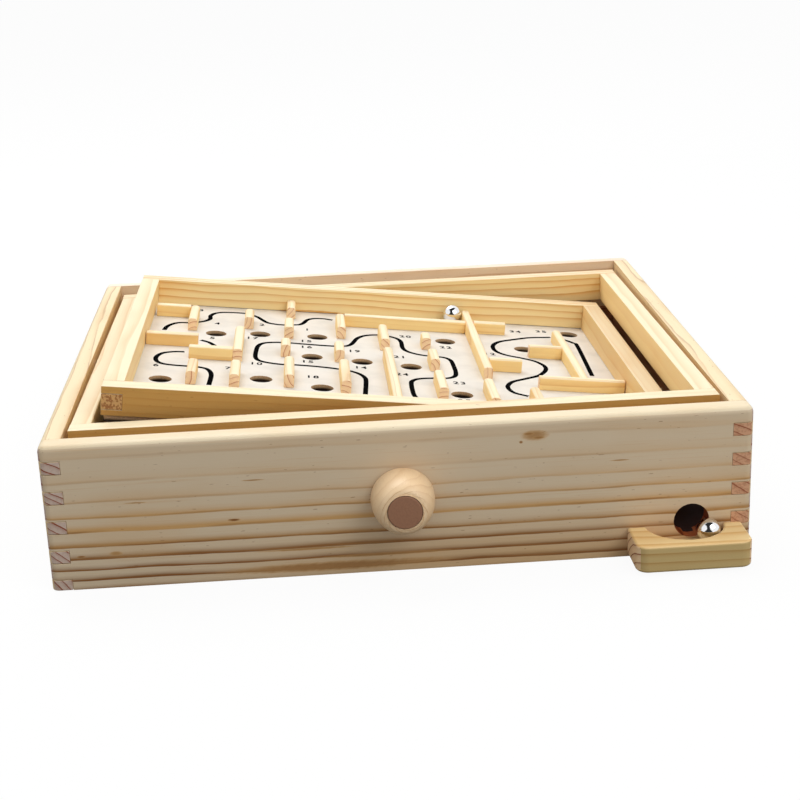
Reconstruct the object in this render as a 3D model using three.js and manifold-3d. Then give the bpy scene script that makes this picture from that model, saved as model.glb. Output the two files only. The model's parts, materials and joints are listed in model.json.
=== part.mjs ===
// Wooden ball maze: a maze tray hung in a gimbal frame inside a finger-jointed pine box.
// Millimetres, +Z up, the front wall faces -Y. The tray and the frame are modelled tilted,
// as the game lies when nobody turns its knobs.

import * as THREE from 'three';
import { mergeVertices } from 'three/addons/utils/BufferGeometryUtils.js';
import Module from 'manifold-3d';

const wasm = await Module();
wasm.setup();

// Driving dimensions of the box
const boxWidth = 350;
const boxDepth = 315;
const boxHeight = 76;
const wallThickness = 10.5;
const boxCornerRadius = 4;
const boxRimRadius = 3.4;
const frontFingerHeight = 8.8;
const sideFingerHeight = 6.8;
const topFingerHeight = 8;
const fingerGap = 0.15;

// Fits shared by the pieces
const seatGap = 0.3;
const turningGap = 0.3;
const cutOverrun = 2;

// Sloping floor and the ball's way out
const floorThickness = 3;
const floorGrooveDepth = 4;
const floorSlopeDegrees = 0.6;
const exitRadius = 9;
const exitHeight = 17.6;
const exitToSide = 30.5;
const exitSill = 0.2;

// Catch tray on the front wall
const catchTrayWidth = 57.5;
const catchTrayDepth = 26;
const catchTrayTop = 15.8;
const catchTrayFoot = 2.1;
const catchTrayCornerRadius = 6;
const catchTrayShift = 3.7;
const catchRecessHalfWidth = 19.5;
const catchRecessDepth = 18.4;
const catchRecessFloor = 8.2;
const catchBallShift = 7.2;

// Gimbal: heights and gaps
const pivotDrop = 9.5;
const frameTiltDegrees = -1;
const trayTiltDegrees = 6.65;
const frameSideGap = 2.4;
const frameEndGap = 7.9;
const frameRailThickness = 10.3;
const frameRailHeight = 17.5;
const frameRise = 8;
const traySideGap = 3.85;
const trayEndGap = 7.45;
const trayRailThickness = 10.5;
const trayRailHeight = 15.5;
const trayRise = 7.7;
const railFingerTopShare = 0.25;
const railFingerShare = 0.54;
const pivotPinRadius = 2;
const pivotPinSeat = 6;
const pivotCollarRadius = 4;

// Maze board, strips and balls
const mazeBoardThickness = 3;
const mazeBoardInset = 1.5;
const mazeHoleRadius = 6.25;
const stripThickness = 5.5;
const stripHeight = 7.5;
const ballRadius = 6;

// Controls
const shaftRadius = 4;
const shaftSeat = 6;
const frontShaftDrop = 26.8;
const sideShaftDrop = 36.5;
const knobReach = 21.3;
const knobRadius = 15.8;
const knobBackRadius = 14.6;
const knobEndRadius = 9.1;
const knobBoreDepth = 14;
const knobWallGap = 0.6;
const knobEdgeDepth = 2.2;
const plugRadius = 8.4;
const plugThickness = 3;
const plugProud = 0.3;

// Cords and their fastenings
const cordRadius = 0.75;
const cordWidthOnShaft = 6;
const cordLift = 0.3;
const cordOffset = 15;
const trayCordEyeShare = 0.56;
const trayCordEyeReach = 13.5;
const frameCordEyeReach = 8;
const eyeWireRadius = 0.6;
const eyeRingRadius = 2.8;
const eyeSeat = 7;
const hookWireRadius = 0.8;
const hookBendRadius = 1.6;
const hookDrop = 3.4;
const hookBarLength = 6;
const hookSeat = 6;
const cordLoopRadius = 2;
const cordLoopTubeRadius = 0.65;
const cordKnotRadius = 1.15;

// How finely round shapes are divided
const rodSides = 24;
const holeSides = 24;
const knobSides = 36;
const knobSteps = 9;
const ballSides = 24;
const ballRings = 14;
const cordSides = 8;
const ringSides = 16;
const bevelSteps = 3;
const recessSteps = 20;
const bendSteps = 4;

// Sizes that follow from them
const pivotHeight = boxHeight - pivotDrop;
const frontShaftHeight = pivotHeight - frontShaftDrop;
const sideShaftHeight = pivotHeight - sideShaftDrop;
const frameCordEyeHeight = sideShaftHeight;
const innerWidth = boxWidth - 2 * wallThickness;
const innerDepth = boxDepth - 2 * wallThickness;
const frameWidth = innerWidth - 2 * frameSideGap;
const frameDepth = innerDepth - 2 * frameEndGap;
const frameInnerWidth = frameWidth - 2 * frameRailThickness;
const frameInnerDepth = frameDepth - 2 * frameRailThickness;
const trayWidth = frameInnerWidth - 2 * traySideGap;
const trayDepth = frameInnerDepth - 2 * trayEndGap;
const trayInnerWidth = trayWidth - 2 * trayRailThickness;
const trayInnerDepth = trayDepth - 2 * trayRailThickness;
const trayRailFoot = trayRise - trayRailHeight;
const mazeBoardTop = trayRailFoot - seatGap;
const mazeBoardMiddle = mazeBoardTop - mazeBoardThickness / 2;
const frameTilt = THREE.MathUtils.degToRad(frameTiltDegrees);
const trayTilt = THREE.MathUtils.degToRad(trayTiltDegrees);
const floorSlope = THREE.MathUtils.degToRad(floorSlopeDegrees);
const exitX = boxWidth / 2 - exitToSide;
const floorTopAtExit = exitHeight - exitRadius + exitSill;
const floorRiseToMiddle = (exitX + innerDepth / 2) * Math.tan(floorSlope);
const floorTopInMiddle = floorTopAtExit + floorRiseToMiddle;
const floorMiddle = floorTopInMiddle - floorThickness / 2;
const eyeRoom = sideShaftHeight - floorTopInMiddle;
const trayCordEyeHeight = floorTopInMiddle + eyeRoom * trayCordEyeShare;

// Places on the maze board, as shares of half its width and half its depth inside the rails.
// A hole is [across, along]. The rows run from the back to the front.
const mazeHoleShares = [
  [0.917, 0.845], [0.313, 0.532], [-0.265, 0.471], [0.665, 0.462], [-0.518, 0.46],
  [-0.711, 0.423], [-0.292, 0.069], [-0.08, 0.03], [0.127, -0.011], [-0.502, -0.383],
  [0.307, -0.463], [-0.899, -0.474], [-0.257, -0.475], [0.509, -0.775], [0.815, -0.775],
  [-0.276, -0.775], [-0.705, -0.811], [0.145, -0.811], [-0.065, -0.829], [0.313, -0.838],
  [-0.48, -0.847],
];
// A strip is [its direction, where it starts, where it ends, its place the other way].
const mazeStripShares = {
  strip_back_left: [['x', -0.989, -0.797, 0.743], ['y', 0.454, 0.743, -0.817]],
  strip_left: [['x', -0.997, -0.778, 0.149]],
  strip_left_corner: [['x', -0.807, -0.606, -0.074], ['y', -0.099, 0.354, -0.606]],
  strip_b: [['y', 0.552, 0.739, -0.571]],
  strip_c_back: [['y', 0.82, 0.997, -0.383]],
  strip_c_second: [['y', 0.398, 0.595, -0.392]],
  strip_c_third: [['y', 0.032, 0.167, -0.406]],
  strip_c_front: [['y', -0.505, -0.18, -0.391]],
  strip_a_front: [['y', -0.541, -0.315, -0.778]],
  strip_b_front: [['y', -0.552, -0.298, -0.607]],
  strip_spine: [
    ['y', 0.459, 0.748, -0.16], ['x', -0.18, 0.438, 0.748], ['y', -0.18, 0.997, 0.438],
    ['x', 0.438, 0.605, 0.761], ['x', 0.438, 0.599, 0.009],
  ],
  strip_d_middle: [['y', -0.009, 0.169, -0.178]],
  strip_d_front: [['y', -0.559, -0.177, -0.165]],
  strip_e_back: [['y', 0.267, 0.568, 0.027]],
  strip_e_front: [['y', -0.766, 0.1, 0.029]],
  strip_f_back: [['y', 0.333, 0.45, 0.212]],
  strip_f_middle: [['y', -0.077, 0.122, 0.223]],
  strip_f_front: [['y', -0.58, -0.275, 0.222]],
  strip_g_front: [['y', -0.703, -0.378, 0.418]],
  strip_right_corner: [
    ['x', 0.665, 0.831, 0.311], ['y', -0.282, 0.658, 0.831], ['x', 0.639, 0.997, -0.282],
  ],
  strip_h_front: [['y', -0.766, -0.486, 0.596]],
};

// Materials, coloured as the finished game is
const finish = (color, roughness, metalness = 0) =>
  new THREE.MeshStandardMaterial({ color, roughness, metalness, flatShading: true });
const pine = finish(0xe6cfa4, 0.62);
const palePine = finish(0xeed9ae, 0.6);
const goldenPine = finish(0xe8c585, 0.6);
const printedBoard = finish(0xf0ece2, 0.5);
const plywood = finish(0xd9bf92, 0.7);
const beech = finish(0xdfc29a, 0.45);
const darkWood = finish(0x734632, 0.5);
const dowel = finish(0xd9bd8c, 0.6);
const steel = finish(0xc8c9cc, 0.35, 1);
const chrome = finish(0xe2e4e8, 0.12, 1);
const cordBlack = finish(0x2a2624, 0.85);

// Solids

// Joins the vertices that faces share, so that a closed mesh becomes a solid.
function solidOf(geometry) {
  const plain = geometry.clone();
  plain.deleteAttribute('normal');
  plain.deleteAttribute('uv');
  const merged = mergeVertices(plain);
  return new wasm.Manifold(new wasm.Mesh({
    numProp: 3,
    vertProperties: new Float32Array(merged.attributes.position.array),
    triVerts: new Uint32Array(merged.index.array),
  }));
}

function geometryOf(solid) {
  const { vertProperties, triVerts } = solid.getMesh();
  const geometry = new THREE.BufferGeometry();
  geometry.setAttribute('position', new THREE.BufferAttribute(vertProperties, 3));
  geometry.setIndex(new THREE.BufferAttribute(triVerts, 1));
  return geometry;
}

function joined(...geometries) {
  const [first, ...others] = geometries.map(solidOf);
  return geometryOf(others.reduce((whole, other) => whole.add(other), first));
}

function cut(geometry, ...tools) {
  return geometryOf(tools.reduce((rest, tool) => rest.subtract(solidOf(tool)), solidOf(geometry)));
}

function common(geometry, other) {
  return geometryOf(solidOf(geometry).intersect(solidOf(other)));
}

function piece(name, geometry, material, place = [0, 0, 0]) {
  const mesh = new THREE.Mesh(geometry, material);
  mesh.name = name;
  mesh.position.set(...place);
  return mesh;
}

function block(size, centre = [0, 0, 0]) {
  return new THREE.BoxGeometry(...size).translate(...centre);
}

// Turns a shape made about the Y axis so that its +Y end points along the given direction.
function pointed(geometry, direction) {
  const turn = new THREE.Quaternion();
  turn.setFromUnitVectors(new THREE.Vector3(0, 1, 0), new THREE.Vector3(...direction));
  return geometry.applyQuaternion(turn);
}

function rod(radius, length, direction, centre = [0, 0, 0], sides = rodSides) {
  const bar = new THREE.CylinderGeometry(radius, radius, length, sides);
  return pointed(bar, direction).translate(...centre);
}

function turned(profile, direction, sides) {
  const points = profile.map(([radius, height]) => new THREE.Vector2(radius, height));
  return pointed(new THREE.LatheGeometry(points, sides), direction);
}

// Box

// The whole box's outer form: its upright corners and its top rim are rounded.
function boxForm() {
  const outline = new THREE.Shape();
  const [x, y, r] = [boxWidth / 2, boxDepth / 2, boxCornerRadius];
  outline.moveTo(-x + r, -y);
  outline.lineTo(x - r, -y);
  outline.absarc(x - r, -y + r, r, -Math.PI / 2, 0);
  outline.absarc(x - r, y - r, r, 0, Math.PI / 2);
  outline.absarc(-x + r, y - r, r, Math.PI / 2, Math.PI);
  outline.absarc(-x + r, -y + r, r, Math.PI, (Math.PI * 3) / 2);
  return new THREE.ExtrudeGeometry(outline, {
    depth: boxHeight - boxRimRadius,
    curveSegments: bevelSteps,
    bevelEnabled: true,
    bevelThickness: boxRimRadius,
    bevelSize: boxRimRadius,
    bevelOffset: -boxRimRadius,
    bevelSegments: bevelSteps,
  });
}

// The heights between which the side walls' fingers stand at a corner, from the top down.
function sideFingerSpans() {
  const spans = [];
  for (let top = boxHeight - topFingerHeight; top > 0; top -= sideFingerHeight + frontFingerHeight) {
    spans.push([Math.max(top - sideFingerHeight, -cutOverrun), top]);
  }
  return spans;
}

function frontFingerSpans() {
  const sides = sideFingerSpans();
  const spans = sides.map(([, top], i) => [top, i === 0 ? boxHeight + cutOverrun : sides[i - 1][0]]);
  const lowest = sides[sides.length - 1][0];
  if (lowest > 0) spans.push([-cutOverrun, lowest]);
  return spans;
}

// Slots at both ends of a wall or a rail, where the fingers of those beside it pass.
function fingerSlots(spans, run, length, thickness, across = 0) {
  const slots = [];
  const reach = thickness + fingerGap + cutOverrun;
  const wide = thickness + 2 * cutOverrun;
  for (const [low, high] of spans) {
    const height = high - low + 2 * fingerGap;
    const middle = (low + high) / 2;
    for (const side of [-1, 1]) {
      const end = side * (length / 2 + cutOverrun - reach / 2);
      slots.push(run === 'x'
        ? block([reach, wide, height], [end, across, middle])
        : block([wide, reach, height], [across, end, middle]));
    }
  }
  return slots;
}

function floorBlock(allowance) {
  const size = [
    innerWidth + 2 * (floorGrooveDepth + allowance),
    innerDepth + 2 * (floorGrooveDepth + allowance),
    floorThickness + 2 * allowance,
  ];
  return block(size).rotateY(floorSlope).rotateX(floorSlope).translate(0, 0, floorMiddle);
}

function wall(name, run, across, cuts) {
  const length = run === 'x' ? boxWidth : boxDepth;
  const size = run === 'x' ? [length, wallThickness, boxHeight] : [wallThickness, length, boxHeight];
  const centre = run === 'x' ? [0, across, boxHeight / 2] : [across, 0, boxHeight / 2];
  const spans = run === 'x' ? sideFingerSpans() : frontFingerSpans();
  const slots = fingerSlots(spans, run, length, wallThickness, across);
  const shaped = common(block(size, centre), boxForm());
  return piece(name, cut(shaped, floorBlock(seatGap), ...slots, ...cuts), pine);
}

function box() {
  const group = new THREE.Group();
  const front = -(boxDepth - wallThickness) / 2;
  const side = (boxWidth - wallThickness) / 2;
  const through = wallThickness + 2 * cutOverrun;
  const bore = shaftRadius + turningGap;
  // A blind bore is as deep as the seat of what stands in it, with the gap past its end.
  const blind = (radius, seat, x, y, z, direction) => {
    const length = seat + turningGap + cutOverrun;
    const shift = (seat + turningGap - cutOverrun) / 2;
    const centre = [x + direction[0] * shift, y + direction[1] * shift, z];
    return rod(radius, length, direction, centre, holeSides);
  };
  const exit = rod(exitRadius, through, [0, 1, 0], [exitX, front, exitHeight], holeSides);
  const eye = eyeWireRadius + seatGap;
  const pin = pivotPinRadius + seatGap;
  const [halfX, halfY] = [innerWidth / 2, innerDepth / 2];
  group.add(wall('front_wall', 'x', front, [
    exit,
    rod(bore, through, [0, 1, 0], [0, front, frontShaftHeight], holeSides),
    blind(eye, eyeSeat, cordOffset, -halfY, frameCordEyeHeight, [0, -1, 0]),
  ]));
  group.add(wall('back_wall', 'x', -front, [
    blind(bore, shaftSeat, 0, halfY, frontShaftHeight, [0, 1, 0]),
    blind(eye, eyeSeat, cordOffset, halfY, frameCordEyeHeight, [0, 1, 0]),
  ]));
  group.add(wall('left_wall', 'y', -side, [
    blind(bore, shaftSeat, -halfX, 0, sideShaftHeight, [-1, 0, 0]),
    blind(pin, pivotPinSeat, -halfX, 0, pivotHeight, [-1, 0, 0]),
    blind(eye, eyeSeat, -halfX, -cordOffset, trayCordEyeHeight, [-1, 0, 0]),
  ]));
  group.add(wall('right_wall', 'y', side, [
    rod(bore, through, [1, 0, 0], [side, 0, sideShaftHeight], holeSides),
    blind(pin, pivotPinSeat, halfX, 0, pivotHeight, [1, 0, 0]),
    blind(eye, eyeSeat, halfX, -cordOffset, trayCordEyeHeight, [1, 0, 0]),
  ]));
  group.add(piece('floor_panel', floorBlock(0), plywood));
  group.add(catchTray());
  return group;
}

// The catch tray: a block with rounded front corners and half an ellipse cut down into it.
function catchTray() {
  const [half, r] = [catchTrayWidth / 2, catchTrayCornerRadius];
  const plan = new THREE.Shape();
  plan.moveTo(-half, 0);
  plan.lineTo(-half, -catchTrayDepth + r);
  plan.absarc(-half + r, -catchTrayDepth + r, r, Math.PI, (Math.PI * 3) / 2);
  plan.absarc(half - r, -catchTrayDepth + r, r, -Math.PI / 2, 0);
  plan.lineTo(half, 0);
  const body = new THREE.ExtrudeGeometry(plan, {
    depth: catchTrayTop - catchTrayFoot,
    curveSegments: bevelSteps * 2,
    bevelEnabled: false,
  });
  const hollow = new THREE.CylinderGeometry(1, 1, catchTrayTop, 2 * recessSteps);
  hollow.rotateX(Math.PI / 2);
  hollow.scale(catchRecessHalfWidth, catchRecessDepth, 1);
  hollow.translate(0, 0, catchRecessFloor - catchTrayFoot + catchTrayTop / 2);
  const place = [exitX - catchTrayShift, -boxDepth / 2, catchTrayFoot];
  return piece('catch_tray', cut(body, hollow), palePine, place);
}

// Gimbal frame

// A rail with the bores that it carries. At each end a side rail has one finger, which stands
// between the two fingers of a front or back rail.
function rail(name, run, size, bores, place) {
  const height = size[2];
  const top = height / 2 - height * railFingerTopShare;
  const low = top - height * railFingerShare;
  const past = height / 2 + cutOverrun;
  const spans = run === 'x' ? [[low, top]] : [[-past, low], [top, past]];
  const [length, thickness] = run === 'x' ? size : [size[1], size[0]];
  const slots = fingerSlots(spans, run, length, thickness);
  return piece(name, cut(block(size), ...slots, ...bores), palePine, place);
}

// A bore into the middle of a rail's side face, at the height of the pivots.
function pinBore(thickness, seat, direction, height) {
  const length = seat + turningGap + cutOverrun;
  const middle = thickness / 2 + cutOverrun - length / 2;
  const centre = direction.map((part) => part * middle);
  centre[2] = height;
  return rod(pivotPinRadius + turningGap, length, direction, centre, holeSides);
}

// A bore up into the underside of a rail, for a hook's shank.
function hookBore(railHeight, x, y) {
  const length = hookSeat + seatGap + cutOverrun;
  const z = -railHeight / 2 - cutOverrun + length / 2;
  return rod(hookWireRadius + seatGap, length, [0, 0, 1], [x, y, z], holeSides);
}

// A turned steel pin with a collar that keeps the two pieces it joins apart.
function pivotPin(name, gap, direction, place) {
  const collar = gap / 2 - turningGap;
  const end = gap / 2 + pivotPinSeat;
  const profile = [
    [0, -end], [pivotPinRadius, -end], [pivotPinRadius, -collar], [pivotCollarRadius, -collar],
    [pivotCollarRadius, collar], [pivotPinRadius, collar], [pivotPinRadius, end], [0, end],
  ];
  return piece(name, turned(profile, direction, rodSides), steel, place);
}

function frame() {
  const group = new THREE.Group();
  const middle = frameRise - frameRailHeight / 2;
  const sideX = (frameWidth - frameRailThickness) / 2;
  const endY = (frameDepth - frameRailThickness) / 2;
  const sideSize = [frameRailThickness, frameDepth, frameRailHeight];
  const endSize = [frameWidth, frameRailThickness, frameRailHeight];
  const outward = (side, axis) => (axis === 'x' ? [side, 0, 0] : [0, side, 0]);
  for (const [name, side] of [['left', -1], ['right', 1]]) {
    const bore = pinBore(frameRailThickness, pivotPinSeat, outward(side, 'x'), -middle);
    group.add(rail(`frame_rail_${name}`, 'y', sideSize, [bore], [side * sideX, 0, middle]));
  }
  for (const [name, side] of [['front', -1], ['back', 1]]) {
    const bores = [
      pinBore(frameRailThickness, pivotPinSeat, outward(-side, 'y'), -middle),
      hookBore(frameRailHeight, cordOffset - hookBarLength / 2, 0),
    ];
    group.add(rail(`frame_rail_${name}`, 'x', endSize, bores, [0, side * endY, middle]));
    const y = side * (frameInnerDepth - trayEndGap) / 2;
    group.add(pivotPin(`tray_pivot_${name}`, trayEndGap, outward(side, 'y'), [0, y, 0]));
    const hookAt = [cordOffset - hookBarLength / 2, side * endY, frameRise - frameRailHeight];
    group.add(hook(`frame_hook_${name}`, 'x', hookAt, 0));
  }
  return group;
}

// Maze tray

function mazeStrip(name, bars) {
  const boxes = bars.map(([run, from, to, across]) => {
    const z = mazeBoardTop + seatGap + stripHeight / 2;
    if (run === 'x') {
      const [start, end] = [from * trayInnerWidth / 2, to * trayInnerWidth / 2];
      const centre = [(start + end) / 2, across * trayInnerDepth / 2, z];
      return block([end - start, stripThickness, stripHeight], centre);
    }
    const [start, end] = [from * trayInnerDepth / 2, to * trayInnerDepth / 2];
    const centre = [across * trayInnerWidth / 2, (start + end) / 2, z];
    return block([stripThickness, end - start, stripHeight], centre);
  });
  return piece(name, boxes.length > 1 ? joined(...boxes) : boxes[0], goldenPine);
}

function mazeBoard() {
  const size = [trayWidth - 2 * mazeBoardInset, trayDepth - 2 * mazeBoardInset, mazeBoardThickness];
  const through = mazeBoardThickness + 2 * cutOverrun;
  const holes = mazeHoleShares.map(([x, y]) => rod(
    mazeHoleRadius, through, [0, 0, 1], [x * trayInnerWidth / 2, y * trayInnerDepth / 2, 0], holeSides,
  ));
  for (const side of [-1, 1]) {
    const place = [side * trayHookX(), trayHookY(), 0];
    holes.push(rod(hookWireRadius + seatGap, through, [0, 0, 1], place, holeSides));
  }
  return piece('maze_board', cut(block(size), ...holes), printedBoard, [0, 0, mazeBoardMiddle]);
}

function trayHookX() {
  return (trayWidth - trayRailThickness) / 2;
}

function trayHookY() {
  return -cordOffset + hookBarLength / 2;
}

function tray() {
  const group = new THREE.Group();
  const middle = trayRise - trayRailHeight / 2;
  const endY = (trayDepth - trayRailThickness) / 2;
  const sideSize = [trayRailThickness, trayDepth, trayRailHeight];
  const endSize = [trayWidth, trayRailThickness, trayRailHeight];
  for (const [name, side] of [['left', -1], ['right', 1]]) {
    const bore = hookBore(trayRailHeight, 0, trayHookY());
    group.add(rail(`tray_rail_${name}`, 'y', sideSize, [bore], [side * trayHookX(), 0, middle]));
    const hookAt = [side * trayHookX(), trayHookY(), trayRailFoot];
    group.add(hook(`tray_hook_${name}`, 'y', hookAt, seatGap + mazeBoardThickness));
  }
  for (const [name, side] of [['front', -1], ['back', 1]]) {
    const bore = pinBore(trayRailThickness, pivotPinSeat, [0, side, 0], -middle);
    group.add(rail(`tray_rail_${name}`, 'x', endSize, [bore], [0, side * endY, middle]));
  }
  group.add(mazeBoard());
  for (const [name, bars] of Object.entries(mazeStripShares)) group.add(mazeStrip(name, bars));
  group.add(piece('maze_ball', ball(), chrome, mazeBallPlace()));
  return group;
}

// Balls

function ball() {
  return new THREE.SphereGeometry(ballRadius, ballSides, ballRings);
}

// In the corner between the back rail and the long strip, down against the strip.
function mazeBallPlace() {
  const [, , longStrip] = mazeStripShares.strip_spine;
  const x = longStrip[3] * trayInnerWidth / 2 - stripThickness / 2 - ballRadius - seatGap;
  const y = trayInnerDepth / 2 - ballRadius - seatGap;
  return [x, y, mazeBoardTop + ballRadius + seatGap];
}

function catchBall() {
  const y = -boxDepth / 2 - ballRadius - seatGap;
  const place = [exitX + catchBallShift, y, catchRecessFloor + ballRadius + seatGap];
  return piece('catch_ball', ball(), chrome, place);
}

// Knobs and shafts. Each set is modelled along its own +Y, outwards, and then turned.

// A turned knob: a rounded back edge, then a quarter ellipse that ends at the flat front.
function knobGeometry(direction) {
  const front = knobReach - plugProud;
  const profile = [[0, knobWallGap], [knobBackRadius, knobWallGap]];
  for (let i = 0; i <= knobSteps; i += 1) {
    const angle = (i / knobSteps) * (Math.PI / 2);
    profile.push([
      knobEndRadius + (knobRadius - knobEndRadius) * Math.cos(angle),
      knobEdgeDepth + (front - knobEdgeDepth) * Math.sin(angle),
    ]);
  }
  profile.push([0, front]);
  const knob = turned(profile, [0, 1, 0], knobSides);
  const boreLength = knobBoreDepth + seatGap + cutOverrun;
  const bore = rod(shaftRadius + seatGap, boreLength, [0, 1, 0],
    [0, knobWallGap - cutOverrun + boreLength / 2, 0], holeSides);
  const socketDepth = plugThickness - plugProud + seatGap;
  const socket = rod(plugRadius + seatGap, socketDepth + cutOverrun, [0, 1, 0],
    [0, front - socketDepth + (socketDepth + cutOverrun) / 2, 0], rodSides);
  return pointed(cut(knob, bore, socket), direction);
}

function controls() {
  const group = new THREE.Group();
  const sets = [
    { name: 'front', out: [0, -1, 0], depth: boxDepth, inner: innerDepth, height: frontShaftHeight },
    { name: 'side', out: [1, 0, 0], depth: boxWidth, inner: innerWidth, height: sideShaftHeight },
  ];
  for (const { name, out, depth, inner, height } of sets) {
    const wallFace = out.map((part) => part * depth / 2);
    wallFace[2] = height;
    group.add(piece(`${name}_knob`, knobGeometry(out), beech, wallFace));
    const plugMiddle = knobReach - plugThickness / 2;
    const plugPlace = wallFace.map((part, i) => part + out[i] * plugMiddle);
    group.add(piece(`${name}_knob_plug`, rod(plugRadius, plugThickness, out), darkWood, plugPlace));
    const outerEnd = depth / 2 + knobWallGap + knobBoreDepth;
    const innerEnd = inner / 2 + shaftSeat;
    const shaftPlace = out.map((part) => part * (outerEnd - innerEnd) / 2);
    shaftPlace[2] = height;
    group.add(piece(`${name}_shaft`, rod(shaftRadius, outerEnd + innerEnd, out), dowel, shaftPlace));
  }
  return group;
}

// Cords and their fastenings

// A bent wire hook: a shank up into a rail, and a level bar that the cord's loop hangs on.
function hook(name, run, place, boardBelow) {
  const drop = boardBelow + hookDrop;
  const bend = hookBendRadius;
  const side = run === 'x' ? 1 : -1;
  const at = (along, z) => (run === 'x'
    ? new THREE.Vector3(side * along, 0, z)
    : new THREE.Vector3(0, side * along, z));
  const points = [at(0, hookSeat), at(0, -drop + bend)];
  for (let i = 1; i <= bendSteps; i += 1) {
    const angle = (i / bendSteps) * (Math.PI / 2);
    points.push(at(bend * (1 - Math.cos(angle)), -drop + bend * (1 - Math.sin(angle))));
  }
  points.push(at(hookBarLength, -drop));
  const flatSide = run === 'x' ? new THREE.Vector3(0, 1, 0) : new THREE.Vector3(1, 0, 0);
  return piece(name, wire(points, hookWireRadius, flatSide), steel, place);
}

// A round wire through the points of a path that bends in the plane square to flatSide.
// Each section lies on the mitre plane between its two stretches.
function wire(points, radius, flatSide) {
  const steps = points.slice(1).map((point, i) => point.clone().sub(points[i]).normalize());
  const positions = [];
  points.forEach((point, i) => {
    const before = steps[Math.max(i - 1, 0)];
    const after = steps[Math.min(i, steps.length - 1)];
    const ahead = before.clone().add(after).normalize();
    const across = new THREE.Vector3().crossVectors(ahead, flatSide).normalize();
    const level = new THREE.Vector3().crossVectors(across, ahead);
    const stretch = radius / ahead.dot(before);
    for (let k = 0; k < cordSides; k += 1) {
      const angle = (k / cordSides) * 2 * Math.PI;
      const place = point.clone();
      place.addScaledVector(across, Math.cos(angle) * stretch);
      place.addScaledVector(level, Math.sin(angle) * radius);
      positions.push(...place.toArray());
    }
  });
  const faces = [];
  for (let i = 0; i + 1 < points.length; i += 1) {
    for (let k = 0; k < cordSides; k += 1) {
      const [a, b] = [i * cordSides + k, i * cordSides + (k + 1) % cordSides];
      faces.push(a, a + cordSides, b, b, a + cordSides, b + cordSides);
    }
  }
  const last = (points.length - 1) * cordSides;
  for (let k = 1; k + 1 < cordSides; k += 1) {
    faces.push(0, k, k + 1, last, last + k + 1, last + k);
  }
  const geometry = new THREE.BufferGeometry();
  geometry.setAttribute('position', new THREE.Float32BufferAttribute(positions, 3));
  geometry.setIndex(faces);
  return geometry;
}

// A screw eye: a level ring that the cord rises through, on a shank in the wall.
function guideEye(name, direction, reach, place) {
  const ring = new THREE.TorusGeometry(eyeRingRadius, eyeWireRadius, cordSides, ringSides);
  const start = eyeRingRadius;
  const end = reach + eyeSeat;
  const middle = direction.map((part) => part * (start + end) / 2);
  const shank = rod(eyeWireRadius, end - start, direction, middle, cordSides);
  return piece(name, joined(ring, shank), steel, place);
}

// A cord: turns close round the shaft, drawn as one sleeve, and a leg to each side that runs
// out to a guide eye, up through it and to a knotted loop on its hook.
function cord(name, along, shaftHeight, offset, eyes, hooks) {
  const inner = shaftRadius + seatGap;
  const outer = inner + 2 * cordRadius;
  const half = cordWidthOnShaft / 2;
  const sleeve = turned(
    [[inner, -half], [outer, -half], [outer, half], [inner, half], [inner, -half]],
    along, ringSides * 2,
  ).translate(...offset, shaftHeight);
  const legs = [-1, 1].map((side, i) => {
    const shift = new THREE.Vector3(...along).multiplyScalar(side * (half - 2 * cordRadius));
    const start = new THREE.Vector3(...offset, shaftHeight + inner + cordRadius + cordLift);
    const belowEye = eyes[i].clone();
    belowEye.z -= 2 * cordRadius + eyeWireRadius + seatGap;
    const loopFoot = hooks[i].clone();
    loopFoot.z -= cordLoopRadius;
    const path = [start.add(shift), belowEye, eyes[i], loopFoot];
    return wire(path, cordRadius, new THREE.Vector3(...along));
  });
  const loops = hooks.map((centre) => {
    const ring = new THREE.TorusGeometry(cordLoopRadius, cordLoopTubeRadius, cordSides, ringSides);
    return pointed(ring.rotateX(Math.PI / 2), along).translate(...centre.toArray());
  });
  const knots = hooks.map((centre) => {
    const knot = new THREE.SphereGeometry(cordKnotRadius, ringSides, cordSides);
    return knot.translate(...centre.toArray()).translate(0, 0, -cordLoopRadius);
  });
  return piece(name, joined(sleeve, ...legs, ...loops, ...knots), cordBlack);
}

function cordsAndEyes(frameGroup, trayGroup) {
  const group = new THREE.Group();
  const [halfX, halfY] = [innerWidth / 2, innerDepth / 2];
  const eyeX = halfX - trayCordEyeReach;
  const eyeY = halfY - frameCordEyeReach;
  for (const [name, side] of [['left', -1], ['right', 1]]) {
    const place = [side * eyeX, -cordOffset, trayCordEyeHeight];
    group.add(guideEye(`tray_cord_eye_${name}`, [side, 0, 0], trayCordEyeReach, place));
  }
  for (const [name, side] of [['front', -1], ['back', 1]]) {
    const place = [cordOffset, side * eyeY, frameCordEyeHeight];
    group.add(guideEye(`frame_cord_eye_${name}`, [0, side, 0], frameCordEyeReach, place));
  }
  const inBox = (carrier, x, y, z) => carrier.localToWorld(new THREE.Vector3(x, y, z));
  const trayBar = trayRailFoot - seatGap - mazeBoardThickness - hookDrop;
  const frameBar = frameRise - frameRailHeight - hookDrop;
  const frameHookY = (frameDepth - frameRailThickness) / 2;
  group.add(cord('tray_cord', [0, 1, 0], frontShaftHeight, [0, -cordOffset],
    [-1, 1].map((side) => new THREE.Vector3(side * eyeX, -cordOffset, trayCordEyeHeight)),
    [-1, 1].map((side) => inBox(trayGroup, side * trayHookX(), -cordOffset, trayBar))));
  group.add(cord('frame_cord', [1, 0, 0], sideShaftHeight, [cordOffset, 0],
    [-1, 1].map((side) => new THREE.Vector3(cordOffset, side * eyeY, frameCordEyeHeight)),
    [-1, 1].map((side) => inBox(frameGroup, cordOffset, side * frameHookY, frameBar))));
  return group;
}

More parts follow.
